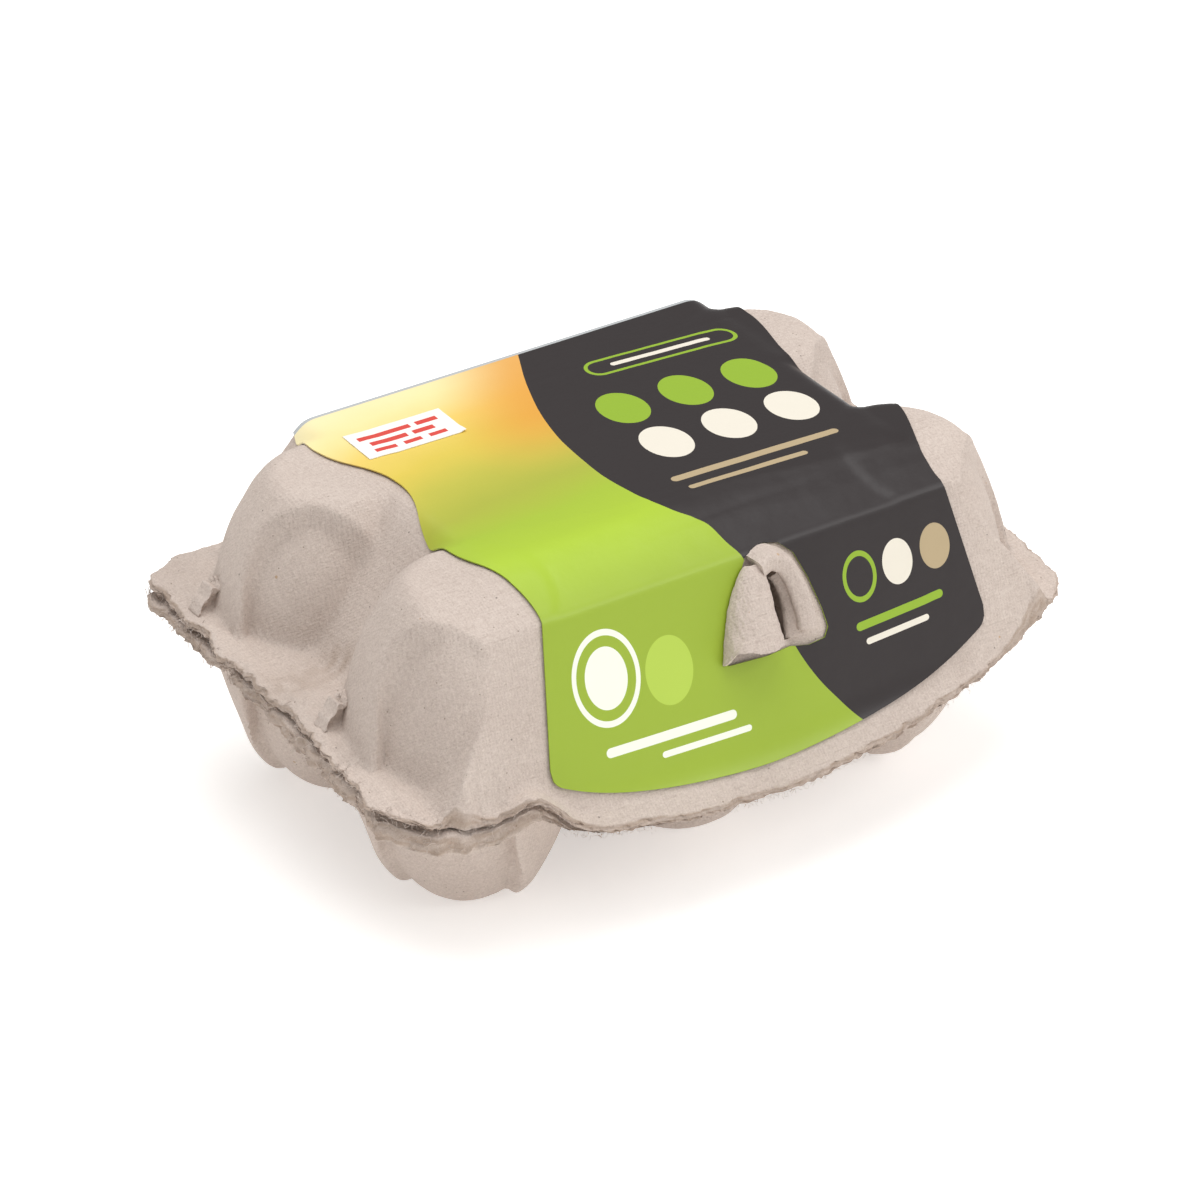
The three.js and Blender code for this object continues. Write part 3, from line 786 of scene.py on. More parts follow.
def sticker_paper(looks):
    """Uncoated thermal sticker paper, with plain bars stamped in red ink."""
    material, tree = new_material("Thermal sticker paper")
    flat = add(tree, "ShaderNodeUVMap", uv_map="flat")
    parts = add(tree, "ShaderNodeSeparateXYZ", {0: flat})
    colour = None
    for low, high, left, right in STICKER_BARS:
        tests = []
        for socket, start, end in ((parts.outputs[1], low, high), (parts, left, right)):
            tests.append(add(tree, "ShaderNodeMath",
                             {0: socket, 1: (start + end) / 2, 2: (end - start) / 2},
                             operation="COMPARE"))
        mask = add(tree, "ShaderNodeMath", {0: tests[0], 1: tests[1]}, operation="MULTIPLY")
        before = looks.sticker if colour is None else colour
        colour = add(tree, "ShaderNodeMix", {0: mask, 6: before, 7: srgb("#D4483F")},
                     data_type="RGBA").outputs[2]
    skin = add(tree, "ShaderNodeBsdfPrincipled",
               {"Base Color": colour, "Roughness": 0.6, "Specular IOR Level": 0.4})
    add(tree, "ShaderNodeOutputMaterial", {0: skin})
    return material


def pale_floor(looks):
    """Matt white studio paper on a light table, so that its shadows stay faint."""
    material = bpy.data.materials.new("White studio paper")
    material.use_nodes = True
    skin = material.node_tree.nodes["Principled BSDF"]
    skin.inputs["Base Color"].default_value = looks.floor
    skin.inputs["Emission Color"].default_value = (1.0, 1.0, 1.0, 1.0)
    skin.inputs["Emission Strength"].default_value = looks.table_light
    skin.inputs["Roughness"].default_value = 0.9
    skin.inputs["Specular IOR Level"].default_value = 0.1
    return material


# Flat label coordinates: across = 0.5 + x / 200 mm from the label's middle,
# along = 0 at the bottom edge and 1 at 130 mm further up the paper
LABEL_RUN = 130.0
LABEL_SPAN = 200.0
LABEL_EDGE = [
    (0.0, 0.600), (0.05, 0.573), (0.10, 0.5495), (0.17, 0.527), (0.24, 0.507), (0.314, 0.488),
    (0.361, 0.479), (0.405, 0.457), (0.485, 0.441), (0.585, 0.437), (0.694, 0.445),
    (0.801, 0.466), (0.888, 0.490), (1.0, 0.522),
]
LABEL_BACK_STRIP = 1.3

# Motifs, in mm from the middle of the label and from its bottom edge: centre,
# radii, half the straight length of a bar, turn, colour, and for an outline half
# its width as a share of the radii
LEAF = "#8FB02B"
CREAM = "#E6DFD0"
TAN = "#B5A17E"
PALE = "#F1F4E4"
LABEL_MOTIFS = (
    *(((x, y), (4.7, 6.1), 0.0, 0.0, ink, 0.0)
      for y, ink in ((88.0, LEAF), (73.0, CREAM)) for x in (4.0, 17.5, 31.0)),
    ((21.5, 103.5), (2.6, 2.6), 13.0, 0.0, LEAF, 0.14),
    ((21.5, 103.5), (0.6, 0.6), 10.0, 0.0, CREAM, 0.0),
    ((15.0, 60.5), (0.9, 0.9), 17.0, 0.0, TAN, 0.0),
    ((11.0, 56.5), (0.7, 0.7), 12.0, 0.0, TAN, 0.0),
    ((22.5, 28.0), (3.3, 4.3), 0.0, 0.0, LEAF, 0.12),
    ((31.0, 28.6), (3.3, 4.3), 0.0, 0.0, CREAM, 0.0),
    ((39.5, 29.2), (3.3, 4.3), 0.0, 0.0, TAN, 0.0),
    ((30.0, 19.5), (0.8, 0.8), 9.0, 0.07, LEAF, 0.0),
    ((29.0, 16.2), (0.6, 0.6), 6.5, 0.07, CREAM, 0.0),
    ((-33.0, 24.0), (6.6, 8.4), 0.0, 0.0, PALE, 0.07),
    ((-33.0, 24.0), (4.4, 5.8), 0.0, 0.0, PALE, 0.0),
    ((-20.0, 22.0), (5.0, 6.4), 0.0, 0.0, "#B2CC4C", 0.0),
    ((-21.5, 10.5), (0.9, 0.9), 13.0, 0.0, PALE, 0.0),
    ((-14.5, 7.2), (0.6, 0.6), 9.0, 0.0, PALE, 0.0),
)

# Red bars of the sticker as shares of its size: low, high, left, right
STICKER_BARS = (
    (0.66, 0.80, 0.08, 0.62), (0.66, 0.80, 0.68, 0.90),
    (0.40, 0.54, 0.14, 0.52), (0.40, 0.54, 0.58, 0.80),
    (0.16, 0.28, 0.12, 0.34), (0.16, 0.28, 0.42, 0.60), (0.16, 0.28, 0.68, 0.86),
)


def length_property(name, description, default, low, high):
    """A size in metres, for the panel."""
    return bpy.props.FloatProperty(name=name, description=description, default=default,
                                   min=low, max=high, unit="LENGTH")


def colour_property(name, description, code):
    """A colour, for the panel."""
    return bpy.props.FloatVectorProperty(name=name, description=description, subtype="COLOR",
                                         size=4, default=srgb(code), min=0.0, max=1.0)


class CartonSizes(bpy.types.PropertyGroup):
    """Sizes of the pulp moulding."""

    flange: length_property("Flange thickness", "Thickness of the rim of lid and tray",
                            0.0023, 0.001, 0.004)
    torn: length_property("Torn edge", "How far the torn rim wanders in and out",
                          0.0010, 0.0, 0.002)
    fibre_length: length_property("Fibre length", "Length of the loose fibres along the rim",
                                  0.0019, 0.0003, 0.004)
    fibres: bpy.props.IntProperty(
        name="Fibres", description="Loose fibres along each rim", default=1500, min=0, max=3000)
    lug_height: length_property("Lug height", "Height of the small lugs at both ends",
                                0.0048, 0.003, 0.008)
    hood_width: length_property("Hood width", "Width of the hood's band beside the tongue",
                                0.0055, 0.004, 0.007)


class CartonLooks(bpy.types.PropertyGroup):
    """Colours and finish."""

    pulp_light: colour_property("Pulp, light", "Lightest tone of the pulp", "#DFD2C8")
    pulp_dark: colour_property("Pulp, dark", "Darkest tone of the pulp", "#AC9B91")
    green: colour_property("Label green", "Green field of the label", "#98B031")
    green_bright: colour_property("Label bright green", "Green near the shoulder", "#A9C631")
    charcoal: colour_property("Label charcoal", "Dark field of the label", "#292222")
    sticker: colour_property("Sticker", "Paper of the date sticker", "#F2EFEA")
    floor: colour_property("Floor", "Studio floor", "#F4F3F1")
    table_light: bpy.props.FloatProperty(
        name="Table light", description="Glow of the light table under the floor",
        default=0.40, min=0.0, max=1.0)
    weave_pitch: length_property("Screen pitch", "Spacing of the wire screen's print",
                                 0.00095, 0.0004, 0.003)


def piece_material(key, make, context):
    """The material of that name, made once."""
    found = bpy.data.materials.get(key)
    return found if found else make(context.scene.carton_looks)


def pulp(context):
    return piece_material("Moulded pulp", moulded_pulp, context)


def covered(x, y):
    """1 well inside the label's outline, 0 outside it."""
    half = np.where(x < LABEL_X, label_half_width(y, -1), label_half_width(y, 1))
    side = smooth_step(-0.6, 0.8, half - np.abs(x - LABEL_X))
    front = smooth_step(-0.3, 0.5, y - label_bottom(x))
    back = smooth_step(-0.6, 0.6, LABEL_BACK_Y - y)
    return side * front * back


def stain_and_shade(obj, values):
    """Writes the brown tint: values on the upper face, then the torn edge's own stain; the lid's
    slot gets painted shade in it afterwards.
    """
    count = len(obj.data.vertices)
    stain_and_shade_amount = np.zeros(count)
    stain_and_shade_amount[:values.size] = values.reshape(-1)
    edge = np.arange(count) >= 2 * values.size
    stain_and_shade_amount[edge] = TORN_STAIN * (0.6 + 0.4 * uneven(np.flatnonzero(edge) * 0.31, 0.0, 1.0, 62))
    obj.data.attributes.new("stain_and_shade", "FLOAT", "POINT").data.foreach_set("value", stain_and_shade_amount)


def tint_lid_valley_foot(obj, x, y, z):
    """Darkens a mottled band at the foot of the left valley with the brown tint."""
    foot = np.exp(-((z - VALLEY_FOOT_TINT_Z) / 2.2) ** 2) * np.exp(-((y - DOME_MIDDLE_Y) / 4.0) ** 2)
    amount = VALLEY_FOOT_TINT * foot * (x < VALLEY_FOOT_TINT_END_X)
    stain_and_shade(obj, amount * clamp01(0.6 + 0.8 * uneven(x, y, 1.4, 61)))


def paint_slot_shade(obj):
    """Paints shade on the walls of the slot behind the tongue, which light hardly reaches, in the
    brown tint.
    """
    points = np.zeros(3 * len(obj.data.vertices))
    obj.data.vertices.foreach_get("co", points)
    off = points.reshape(-1, 3) / MM - LATCH_ORIGIN
    depth = off @ WALL_OUT
    up = off @ WALL_UP
    inside = (depth < -1.0) & (depth > -SLOT_DEPTH - 0.5)
    inside &= (off[:, 0] > SLOT_SPAN_X[0]) & (off[:, 0] < SLOT_SPAN_X[1])
    inside &= (up > SLOT_SPAN_UP[0]) & (up < SLOT_SPAN_UP[1])
    values = np.zeros(len(inside))
    layer = obj.data.attributes["stain_and_shade"]
    layer.data.foreach_get("value", values)
    layer.data.foreach_set("value", np.where(inside, 1.0, values))


class BuildLid(bpy.types.Operator):
    """Builds the lid: flat top, four domes with sunk panels, sloping front and torn rim"""

    bl_idname = "carton.lid"
    bl_label = "Lid"

    def execute(self, context):
        sizes = context.scene.carton_sizes
        x, y = plan_lattice()
        flange = sizes.flange / MM
        z = lid_height(x, y, flange)
        skin = 1 - covered(x, y)
        z = z + skin * octaves(x, y, PULP_SKIN, 3)
        low = closure_level(x, y) + lid_lift(x, y)
        low = low + PARTING_GAP / 2 * smooth_step(0, 8, HINGE_Y - y)
        waves = rim_waves(x, y, 13)
        z = z + waves
        low = low + waves
        tx, ty = tear_edges(x, y, sizes.torn / MM, 11)
        upper = lattice(tx, ty, z)
        lower = lattice(tx, ty, low)
        obj = closed_body("lid_pulp", upper, lower, rim_loops(upper, lower, 21))
        tint_lid_valley_foot(obj, x, y, z)
        cut_through(obj, SLOT, -SLOT_DEPTH, SLOT_REACH)
        # Painted shade: the walls of the slot behind the tongue take the full brown tint
        paint_slot_shade(obj)
        soften(obj, 55)
        finish_piece(obj, pulp(context), "pulp", "carton")
        return {"FINISHED"}


class BuildTray(bpy.types.Operator):
    """Builds the tray: six cups with flat feet under a sagging torn rim"""

    bl_idname = "carton.tray"
    bl_label = "Tray"

    def execute(self, context):
        sizes = context.scene.carton_sizes
        x, y = plan_lattice()
        flange = sizes.flange / MM
        z = tray_height(x, y, flange)
        foot = smooth_step(0.4, 2.0, z)
        z = z + foot * octaves(x, y, PULP_SKIN, 5)
        high = closure_level(x, y) + lid_lift(x, y)
        high = high - PARTING_GAP / 2 * smooth_step(0, 8, HINGE_Y - y)
        waves = np.minimum(rim_waves(x, y, 33), 0.3)
        z = z + waves
        high = high + waves
        tx, ty = tray_outline(x, y, sizes.torn / MM)
        upper = lattice(tx, ty, high)
        lower = lattice(tx, ty, z)
        obj = closed_body("tray_pulp", upper, lower, rim_loops(upper, lower, 41))
        stain_and_shade(obj, np.zeros(x.size))
        soften(obj, 55)
        finish_piece(obj, pulp(context), "pulp", "carton")
        return {"FINISHED"}


def lug_mesh():
    """One torn stub, one unit high: a rough fin leaning on the dome, with a blunt top."""
    along = np.linspace(0, 1, 31)
    x = LUG_BACK_X + LUG_LENGTH * along
    crest = np.interp(along, *zip(*LUG_CREST))
    crest = crest + 0.10 * uneven(x, 0.0, 1.1, 71) + 0.05 * uneven(x, 5.0, 0.5, 76)
    share = np.linspace(-0.35, 1, 19)[:, None]
    height = share * crest[None, :]
    root = 1.9 * np.exp(-np.maximum(0, height) / 0.16)
    head = 0.75 * smooth_step(0.6, 0.85, share)
    half = (1.05 + root + head) * (0.55 + 0.45 * np.sin(np.pi * (0.15 + 0.75 * along)))[None, :]
    rough = octaves(x[None, :], height * 7, LUG_SKIN, 72)
    sway = 0.35 * uneven(x[None, :], height * 7, 2.6, 74)
    xs = np.broadcast_to(x, half.shape) + 0.3 * uneven(x[None, :], height * 7, 1.3, 75)
    front = np.stack([xs, sway - half - rough, height / MM], -1)
    back = np.stack([xs, sway + half + rough, height / MM], -1)
    return closed_body("lug", front, back)


def node_group(name, *sockets):
    """An empty geometry tree with the named inputs, a material input and a mesh output."""
    tree = bpy.data.node_groups.new(name, "GeometryNodeTree")
    for key, kind in (*sockets, ("Material", "Material")):
        tree.interface.new_socket(key, in_out="INPUT", socket_type="NodeSocket" + kind)
    tree.interface.new_socket("Mesh", in_out="OUTPUT", socket_type="NodeSocketGeometry")
    return tree, add(tree, "NodeGroupInput")


def close_group(tree, given, mesh):
    """Ends a geometry tree with real instances in the given material."""
    real = add(tree, "GeometryNodeRealizeInstances", {0: mesh})
    dressed = add(tree, "GeometryNodeSetMaterial",
                  {"Geometry": real, "Material": given.outputs["Material"]})
    add(tree, "NodeGroupOutput", {0: dressed})
    return tree


def lug_tree():
    """Geometry nodes: a fin on each point, mirrored to its end and its side."""
    tree, given = node_group(
        "Lug rows", ("Points", "Geometry"), ("Fin", "Object"), ("Lug height", "Float"))
    fin = add(tree, "GeometryNodeObjectInfo", {"Object": given.outputs["Fin"]})
    flip = add(tree, "GeometryNodeInputNamedAttribute", {"Name": "flip"}, data_type="FLOAT_VECTOR")
    size = add(tree, "ShaderNodeCombineXYZ", {0: 1.0, 1: 1.0, 2: given.outputs["Lug height"]})
    scale = add(tree, "ShaderNodeVectorMath", {0: flip, 1: size}, operation="MULTIPLY")
    placed = add(tree, "GeometryNodeInstanceOnPoints",
                 {"Points": given.outputs["Points"], "Instance": fin.outputs["Geometry"],
                  "Scale": scale})
    return close_group(tree, given, placed)


def run_nodes(obj, tree, values):
    """Runs a node tree on an object, with its named inputs, and keeps the mesh."""
    modifier = obj.modifiers.new(tree.name, "NODES")
    modifier.node_group = tree
    sockets = {item.name: item.identifier for item in tree.interface.items_tree
               if item.in_out == "INPUT"}
    for name, value in values.items():
        modifier[sockets[name]] = value
    return bake(obj)


def point_object(name, points, edges=(), **vectors):
    """A mesh of points with vector attributes, for a node tree to work on."""
    obj = mesh_object(name, [Vector(p) * MM for p in points], edges, [])
    for key, values in vectors.items():
        layer = obj.data.attributes.new(key, "FLOAT_VECTOR", "POINT")
        layer.data.foreach_set("vector", np.asarray(values, float).reshape(-1))
    return obj


def path_object(name, points, **vectors):
    """The same with one line of edges through the points."""
    return point_object(name, points, [(i, i + 1) for i in range(len(points) - 1)], **vectors)


def face_outwards(obj):
    """Merges doubles and turns every face of closed shells outwards."""
    shape = bmesh.new()
    shape.from_mesh(obj.data)
    bmesh.ops.remove_doubles(shape, verts=shape.verts, dist=1e-6)
    bmesh.ops.recalc_face_normals(shape, faces=shape.faces)
    shape.to_mesh(obj.data)
    shape.free()


class BuildLugs(bpy.types.Operator):
    """Builds the eight torn lugs, two up and two down at each end"""

    bl_idname = "carton.lugs"
    bl_label = "Lugs"

    def execute(self, context):
        sizes = context.scene.carton_sizes
        points = []
        flips = []
        for side in (-1, 1):
            for lug_y in LUG_Y:
                for up in (-1, 1):
                    level = float(closure_level(HALF_LENGTH, lug_y))
                    moved = lid_lift if up > 0 else tray_sag
                    level += up * float(moved(side * HALF_LENGTH, lug_y))
                    points.append((0, lug_y + LUG_SHIFT_Y * side, level + LUG_OFFSET * up))
                    flips.append((side, up, up * (1.0 if up > 0 else LOWER_LUG_SCALE)))
        fin = lug_mesh()
        obj = point_object("lugs_pulp", points, flip=flips)
        run_nodes(obj, lug_tree(), {"Fin": fin, "Lug height": sizes.lug_height,
                                    "Material": pulp(context)})
        bpy.data.objects.remove(fin)
        face_outwards(obj)
        soften(obj, 60)
        finish_piece(obj, pulp(context), "pulp", "carton")
        return {"FINISHED"}


# Frame on the sloping front wall

WALL_LENGTH = math.hypot(1, FRONT_WALL_RISE)
WALL_UP = np.array([0, 1 / WALL_LENGTH, FRONT_WALL_RISE / WALL_LENGTH])
WALL_OUT = np.array([0, -FRONT_WALL_RISE / WALL_LENGTH, 1 / WALL_LENGTH])
LATCH_ORIGIN = np.array([0, SHOULDER_Y - (SHOULDER_Z - LATCH_Z) / FRONT_WALL_RISE, LATCH_Z])


def on_wall(x, up, out):
    """Points given along, up and out of the front wall, from the latch's middle."""
    x, up, out = np.broadcast_arrays(x, up, out)
    return (LATCH_ORIGIN + x[..., None] * np.array([1.0, 0, 0])
            + up[..., None] * WALL_UP + out[..., None] * WALL_OUT)


class BuildTongue(bpy.types.Operator):
    """Builds the latch tongue: half a cone of rough pulp, rolled open at its lower lip"""

    bl_idname = "carton.tongue"
    bl_label = "Latch tongue"

    def execute(self, context):
        turn = np.radians(np.linspace(*TONGUE_TURN, TONGUE_COLUMNS))[None, :]
        down = np.linspace(0, 1, TONGUE_ROWS)[:, None]
        radius = TONGUE_TOP_RADIUS + (TONGUE_FOOT_RADIUS - TONGUE_TOP_RADIUS) * down ** 0.55
        radius = radius * (1 + 0.035 * uneven(turn * 5, down * 14, 2.6, 81))
        grain = (0.10 * uneven(turn * 7, down * 17, 0.9, 82)
                 + 0.05 * uneven(turn * 7, down * 17, 0.4, 84))
        radius = radius + grain * smooth_step(0, 0.2, down)
        low = smooth_step(0.72, 1.0, down)
        roll = low * smooth_step(1.05, 1.7, -turn)
        notch = low * np.exp(-((turn + 0.75) / 0.38) ** 2)
        fray = smooth_step(0.9, 1.0, down) * (0.45 * uneven(turn * 7, 0.0, 1.1, 83)
                                               + 0.25 * uneven(turn * 7, 3.0, 0.45, 85))
        radius = radius + 0.5 * roll + 0.6 * notch
        (top_x, top_up), (foot_x, foot_up) = TONGUE_TOP, TONGUE_FOOT
        spine = top_x + (foot_x - top_x) * down - TONGUE_BOW * np.sin(math.pi * down)
        up = top_up + (foot_up - top_up) * down - 1.2 * roll + 1.1 * notch - 0.6 * fray

        def face(radius, up, lift, least):
            out = np.maximum(TONGUE_FLATTEN * radius * np.cos(turn) + lift, least)
            return on_wall(spine + radius * np.sin(turn), up, out)

        thick = np.clip(0.32 * radius, 0.15, 1.25)
        outer = face(radius, up, 1.3, 0.75 + 0.5 * (turn < -1.8))
        inner = face(radius - thick, up - 0.2 * (1 - down), 1.1, 0.65)
        obj = closed_body("latch_tongue", outer, inner)
        face_outwards(obj)
        soften(obj, 60)
        finish_piece(obj, pulp(context), "pulp", "carton")
        return {"FINISHED"}


def hood_tree():
    """Geometry nodes: a rounded band swept along a path, with a rough skin."""
    tree, given = node_group(
        "Hood band", ("Path", "Geometry"), ("Width", "Float"), ("Thickness", "Float"),
        ("Roughness", "Float"))
    path = add(tree, "GeometryNodeMeshToCurve", {0: given.outputs["Path"]})
    fine = add(tree, "GeometryNodeResampleCurve", {"Curve": path, "Count": 90})
    share = add(tree, "GeometryNodeInputNamedAttribute", {"Name": "wide"}, data_type="FLOAT_VECTOR")
    width = add(tree, "ShaderNodeSeparateXYZ", {0: share})
    grown = add(tree, "GeometryNodeSetCurveRadius", {"Curve": fine, "Radius": width})
    profile = add(tree, "GeometryNodeCurvePrimitiveQuadrilateral",
                  {"Width": given.outputs["Width"], "Height": given.outputs["Thickness"]},
                  mode="RECTANGLE")
    fillet = add(tree, "GeometryNodeFilletCurve",
                 {"Curve": profile, "Radius": 0.0011, "Count": 6}, mode="POLY")
    edge = add(tree, "GeometryNodeResampleCurve", {"Curve": fillet, "Count": 36})
    band = add(tree, "GeometryNodeCurveToMesh",
               {"Curve": grown, "Profile Curve": edge, "Fill Caps": True})
    place = add(tree, "GeometryNodeInputPosition")
    noise = add(tree, "ShaderNodeTexNoise", {"Vector": place, "Scale": 480.0, "Detail": 3.0})
    centred = add(tree, "ShaderNodeVectorMath", {0: noise.outputs["Color"], 1: (0.5,) * 3},
                  operation="SUBTRACT")
    shift = add(tree, "ShaderNodeVectorMath",
                {0: centred, "Scale": given.outputs["Roughness"]}, operation="SCALE")
    rough = add(tree, "GeometryNodeSetPosition", {"Geometry": band, "Offset": shift})
    return close_group(tree, given, rough)


def rounded_path(corners):
    """A smooth line through the corner points, by Catmull-Rom spans."""
    corners = np.asarray(corners, float)
    padded = np.vstack([2 * corners[0] - corners[1], corners, 2 * corners[-1] - corners[-2]])
    line = []
    for i in range(1, len(padded) - 2):
        p0, p1, p2, p3 = padded[i - 1:i + 3]
        for t in np.linspace(0, 1, HOOD_STEPS // (len(padded) - 3) + 1, endpoint=False):
            line.append(0.5 * (2 * p1 + (p2 - p0) * t + (2 * p0 - 5 * p1 + 4 * p2 - p3) * t * t
                               + (3 * p1 - p0 - 3 * p2 + p3) * t ** 3))
    line.append(corners[-1])
    return np.array(line)


class BuildHood(bpy.types.Operator):
    """Builds the hood beside the tongue: a rolled outer band and an inner ply"""

    bl_idname = "carton.hood"
    bl_label = "Latch hood"

    def execute(self, context):
        sizes = context.scene.carton_sizes
        tree = hood_tree()
        for name, share, thick, out, corners in HOOD_BANDS:
            line = rounded_path(corners)
            points = on_wall(line[:, 0], line[:, 1], np.full(len(line), out))
            wide = np.repeat(line[:, 2:], 3, axis=1)
            obj = path_object(name, points, wide=wide)
            run_nodes(obj, tree, {"Width": sizes.hood_width * share, "Thickness": thick * MM,
                                  "Roughness": HOOD_ROUGHNESS * MM, "Material": pulp(context)})
            face_outwards(obj)
            soften(obj, 60)
            finish_piece(obj, pulp(context), "pulp", "carton")
        return {"FINISHED"}


def fibre_tree():
    """Geometry nodes: short bent fibres scattered along a torn rim."""
    tree, given = node_group(
        "Loose fibres", ("Rim", "Geometry"), ("Fibres", "Int"), ("Fibre length", "Float"),
        ("Spread", "Float"))
    rim = add(tree, "GeometryNodeMeshToCurve", {0: given.outputs["Rim"]})
    spots = add(tree, "GeometryNodeResampleCurve", {"Curve": rim, "Count": given.outputs["Fibres"]})
    points = add(tree, "GeometryNodeCurveToPoints", {0: spots}, mode="EVALUATED")
    scatter = add(tree, "FunctionNodeRandomValue", {0: (-1.0,) * 3, 1: (1.0,) * 3, "Seed": 5},
                  data_type="FLOAT_VECTOR")
    spread = add(tree, "ShaderNodeVectorMath",
                 {0: scatter, "Scale": given.outputs["Spread"]}, operation="SCALE")
    moved = add(tree, "GeometryNodeSetPosition", {"Geometry": points, "Offset": spread})
    bend = add(tree, "GeometryNodeCurveQuadraticBezier",
               {"Resolution": 4, "Start": (0.0, 0.0, 0.0), "Middle": (0.55, 0.0, 0.1),
                "End": (1.0, 0.35, -0.05)})
    ring = add(tree, "GeometryNodeCurvePrimitiveCircle", {"Resolution": 3, "Radius": 0.045},
               mode="RADIUS")
    fibre = add(tree, "GeometryNodeCurveToMesh",
                {"Curve": bend, "Profile Curve": ring, "Fill Caps": True})
    turn = add(tree, "FunctionNodeRandomValue",
               {0: (-3.14,) * 3, 1: (3.14,) * 3, "Seed": 9}, data_type="FLOAT_VECTOR")
    share = add(tree, "FunctionNodeRandomValue", {2: 0.35, 3: 1.0, "Seed": 14}, data_type="FLOAT")
    size = add(tree, "ShaderNodeMath",
               {0: share.outputs[1], 1: given.outputs["Fibre length"]}, operation="MULTIPLY")
    place = add(tree, "GeometryNodeInputPosition")
    parts = add(tree, "ShaderNodeSeparateXYZ", {0: place})
    start, end = (x * MM for x in FIBRES_TORN_X)
    torn = add(tree, "ShaderNodeMapRange", {0: parts, 1: start, 2: end, 3: 0.5, 4: 1.0})
    size = add(tree, "ShaderNodeMath", {0: size, 1: torn}, operation="MULTIPLY")
    placed = add(tree, "GeometryNodeInstanceOnPoints",
                 {"Points": moved, "Instance": fibre, "Rotation": turn, "Scale": size})
    return close_group(tree, given, placed)


class BuildFibres(bpy.types.Operator):
    """Scatters short loose fibres along the torn rims and the upper lugs"""

    bl_idname = "carton.fibres"
    bl_label = "Rim fibres"

    def execute(self, context):
        sizes = context.scene.carton_sizes
        flange = sizes.flange / MM
        x, y = plan_lattice()
        tree = fibre_tree()
        rims = (
            ("lid_fibres", closure_level(x, y) + lid_lift(x, y) + 0.6),
            ("tray_fibres", closure_level(x, y) - flange * 0.6),
        )
        for name, level in rims:
            if name == "lid_fibres":
                tx, ty = tear_edges(x, y, sizes.torn / MM, 11)
            else:
                tx, ty = tray_outline(x, y, sizes.torn / MM)
            rim = rim_of(lattice(tx, ty, level))
            open_side = rim[rim[:, 1] < FIBRES_BACK_Y]
            start = int(np.argmax(np.linalg.norm(np.diff(open_side, axis=0), axis=1))) + 1
            obj = path_object(name, np.roll(open_side, -start, axis=0))
            run_nodes(obj, tree, {"Fibres": sizes.fibres, "Fibre length": sizes.fibre_length,
                                  "Spread": 0.0007, "Material": pulp(context)})
            finish_piece(obj, pulp(context), "pulp", "carton")

        crests = []
        for side in (-1, 1):
            for lug_y in LUG_Y:
                top = float(closure_level(HALF_LENGTH, lug_y)) + sizes.lug_height / MM + 1.7
                top += float(lid_lift(side * HALF_LENGTH, lug_y))
                for crest_x, drop in zip(LUG_CREST_X, (0, LUG_CREST_DROP)):
                    crests.append((side * crest_x, lug_y + LUG_SHIFT_Y * side, top - drop))
        obj = point_object("lug_fibres", crests, [(i, i + 1) for i in range(0, len(crests), 2)])
        run_nodes(obj, tree, {"Fibres": LUG_FIBRES, "Fibre length": sizes.fibre_length,
                              "Spread": 0.0009, "Material": pulp(context)})
        finish_piece(obj, pulp(context), "pulp", "carton")
        return {"FINISHED"}


def label_lattice():
    """Plan points of the label, with its flat paper coordinates."""
    u = np.linspace(-1, 1, LABEL_COLUMNS + 1)[None, :]
    near = LABEL_X + LABEL_FRONT_HALF * u
    inset = np.maximum(0, np.abs(LABEL_FRONT_HALF * u) - (LABEL_FRONT_HALF - LABEL_CORNER))
    curl = LABEL_CORNER - np.sqrt(np.maximum(0, LABEL_CORNER ** 2 - inset ** 2))
    bottom = label_bottom(near) + curl * 0.4
    part = np.linspace(0, 1, LABEL_FRONT_ROWS + 1)[:, None]
    front = bottom + (SHOULDER_Y - bottom) * part
    part = np.linspace(0, 1, LABEL_TOP_ROWS + 1)[1:, None]
    top = SHOULDER_Y + (LABEL_BACK_Y - SHOULDER_Y) * part + 0 * near
    y = np.vstack([front, top])
    x = LABEL_X + u * np.where(u < 0, label_half_width(y, -1), label_half_width(y, 1))
    return x, y


def label_creases(x, y):
    """Shallow rolls and folds of the paper across the top and the shoulder."""
    share = 0.35 + 0.65 * smooth_step(-16, 6, x)
    height = 0.0
    for middle, slope, width, rise in LABEL_CREASES:
        waver = middle + slope * x + 0.25 * uneven(x, 0.0, 14.0, 91)
        height = height + share * rise * np.exp(-((y - waver) / width) ** 2)
    return height + octaves(x, y, PAPER_SKIN, 92)


def raised_lid(x, y, distance, flange):
    """Points of the lid's face moved out along its normals."""
    step = 0.4

    def height(px, py):
        return lid_height(px, py, flange)

    slope_x = (height(x + step, y) - height(x - step, y)) / (2 * step)
    slope_y = (height(x, y + step) - height(x, y - step)) / (2 * step)
    normal = np.stack([-slope_x, -slope_y, np.ones_like(x)], -1)
    normal /= np.linalg.norm(normal, axis=-1)[..., None]
    return lattice(x, y, height(x, y)) + normal * np.asarray(distance)[..., None]


def wall_cutter(outline, back, front):
    """A closed prism through the front wall with the given outline on it."""
    outline = np.array(outline)
    count = len(outline)
    x = outline[:, 0]
    up = outline[:, 1]
    points = np.concatenate([on_wall(x, up, back), on_wall(x, up, front)]) * MM
    faces = [tuple(range(count)), tuple(range(2 * count - 1, count - 1, -1))]
    faces += [(i, (i + 1) % count, count + (i + 1) % count, count + i) for i in range(count)]
    obj = mesh_object("cutter", points.tolist(), [], faces)
    face_outwards(obj)
    return obj


def cut_through(obj, outline, back, front):
    """Cuts a prism of the front wall out of an object, for good."""
    cutter = wall_cutter(outline, back, front)
    cut = obj.modifiers.new("Cut", "BOOLEAN")
    cut.operation = "DIFFERENCE"
    cut.solver = "EXACT"
    cut.object = cutter
    bake(obj)
    bpy.data.objects.remove(cutter)


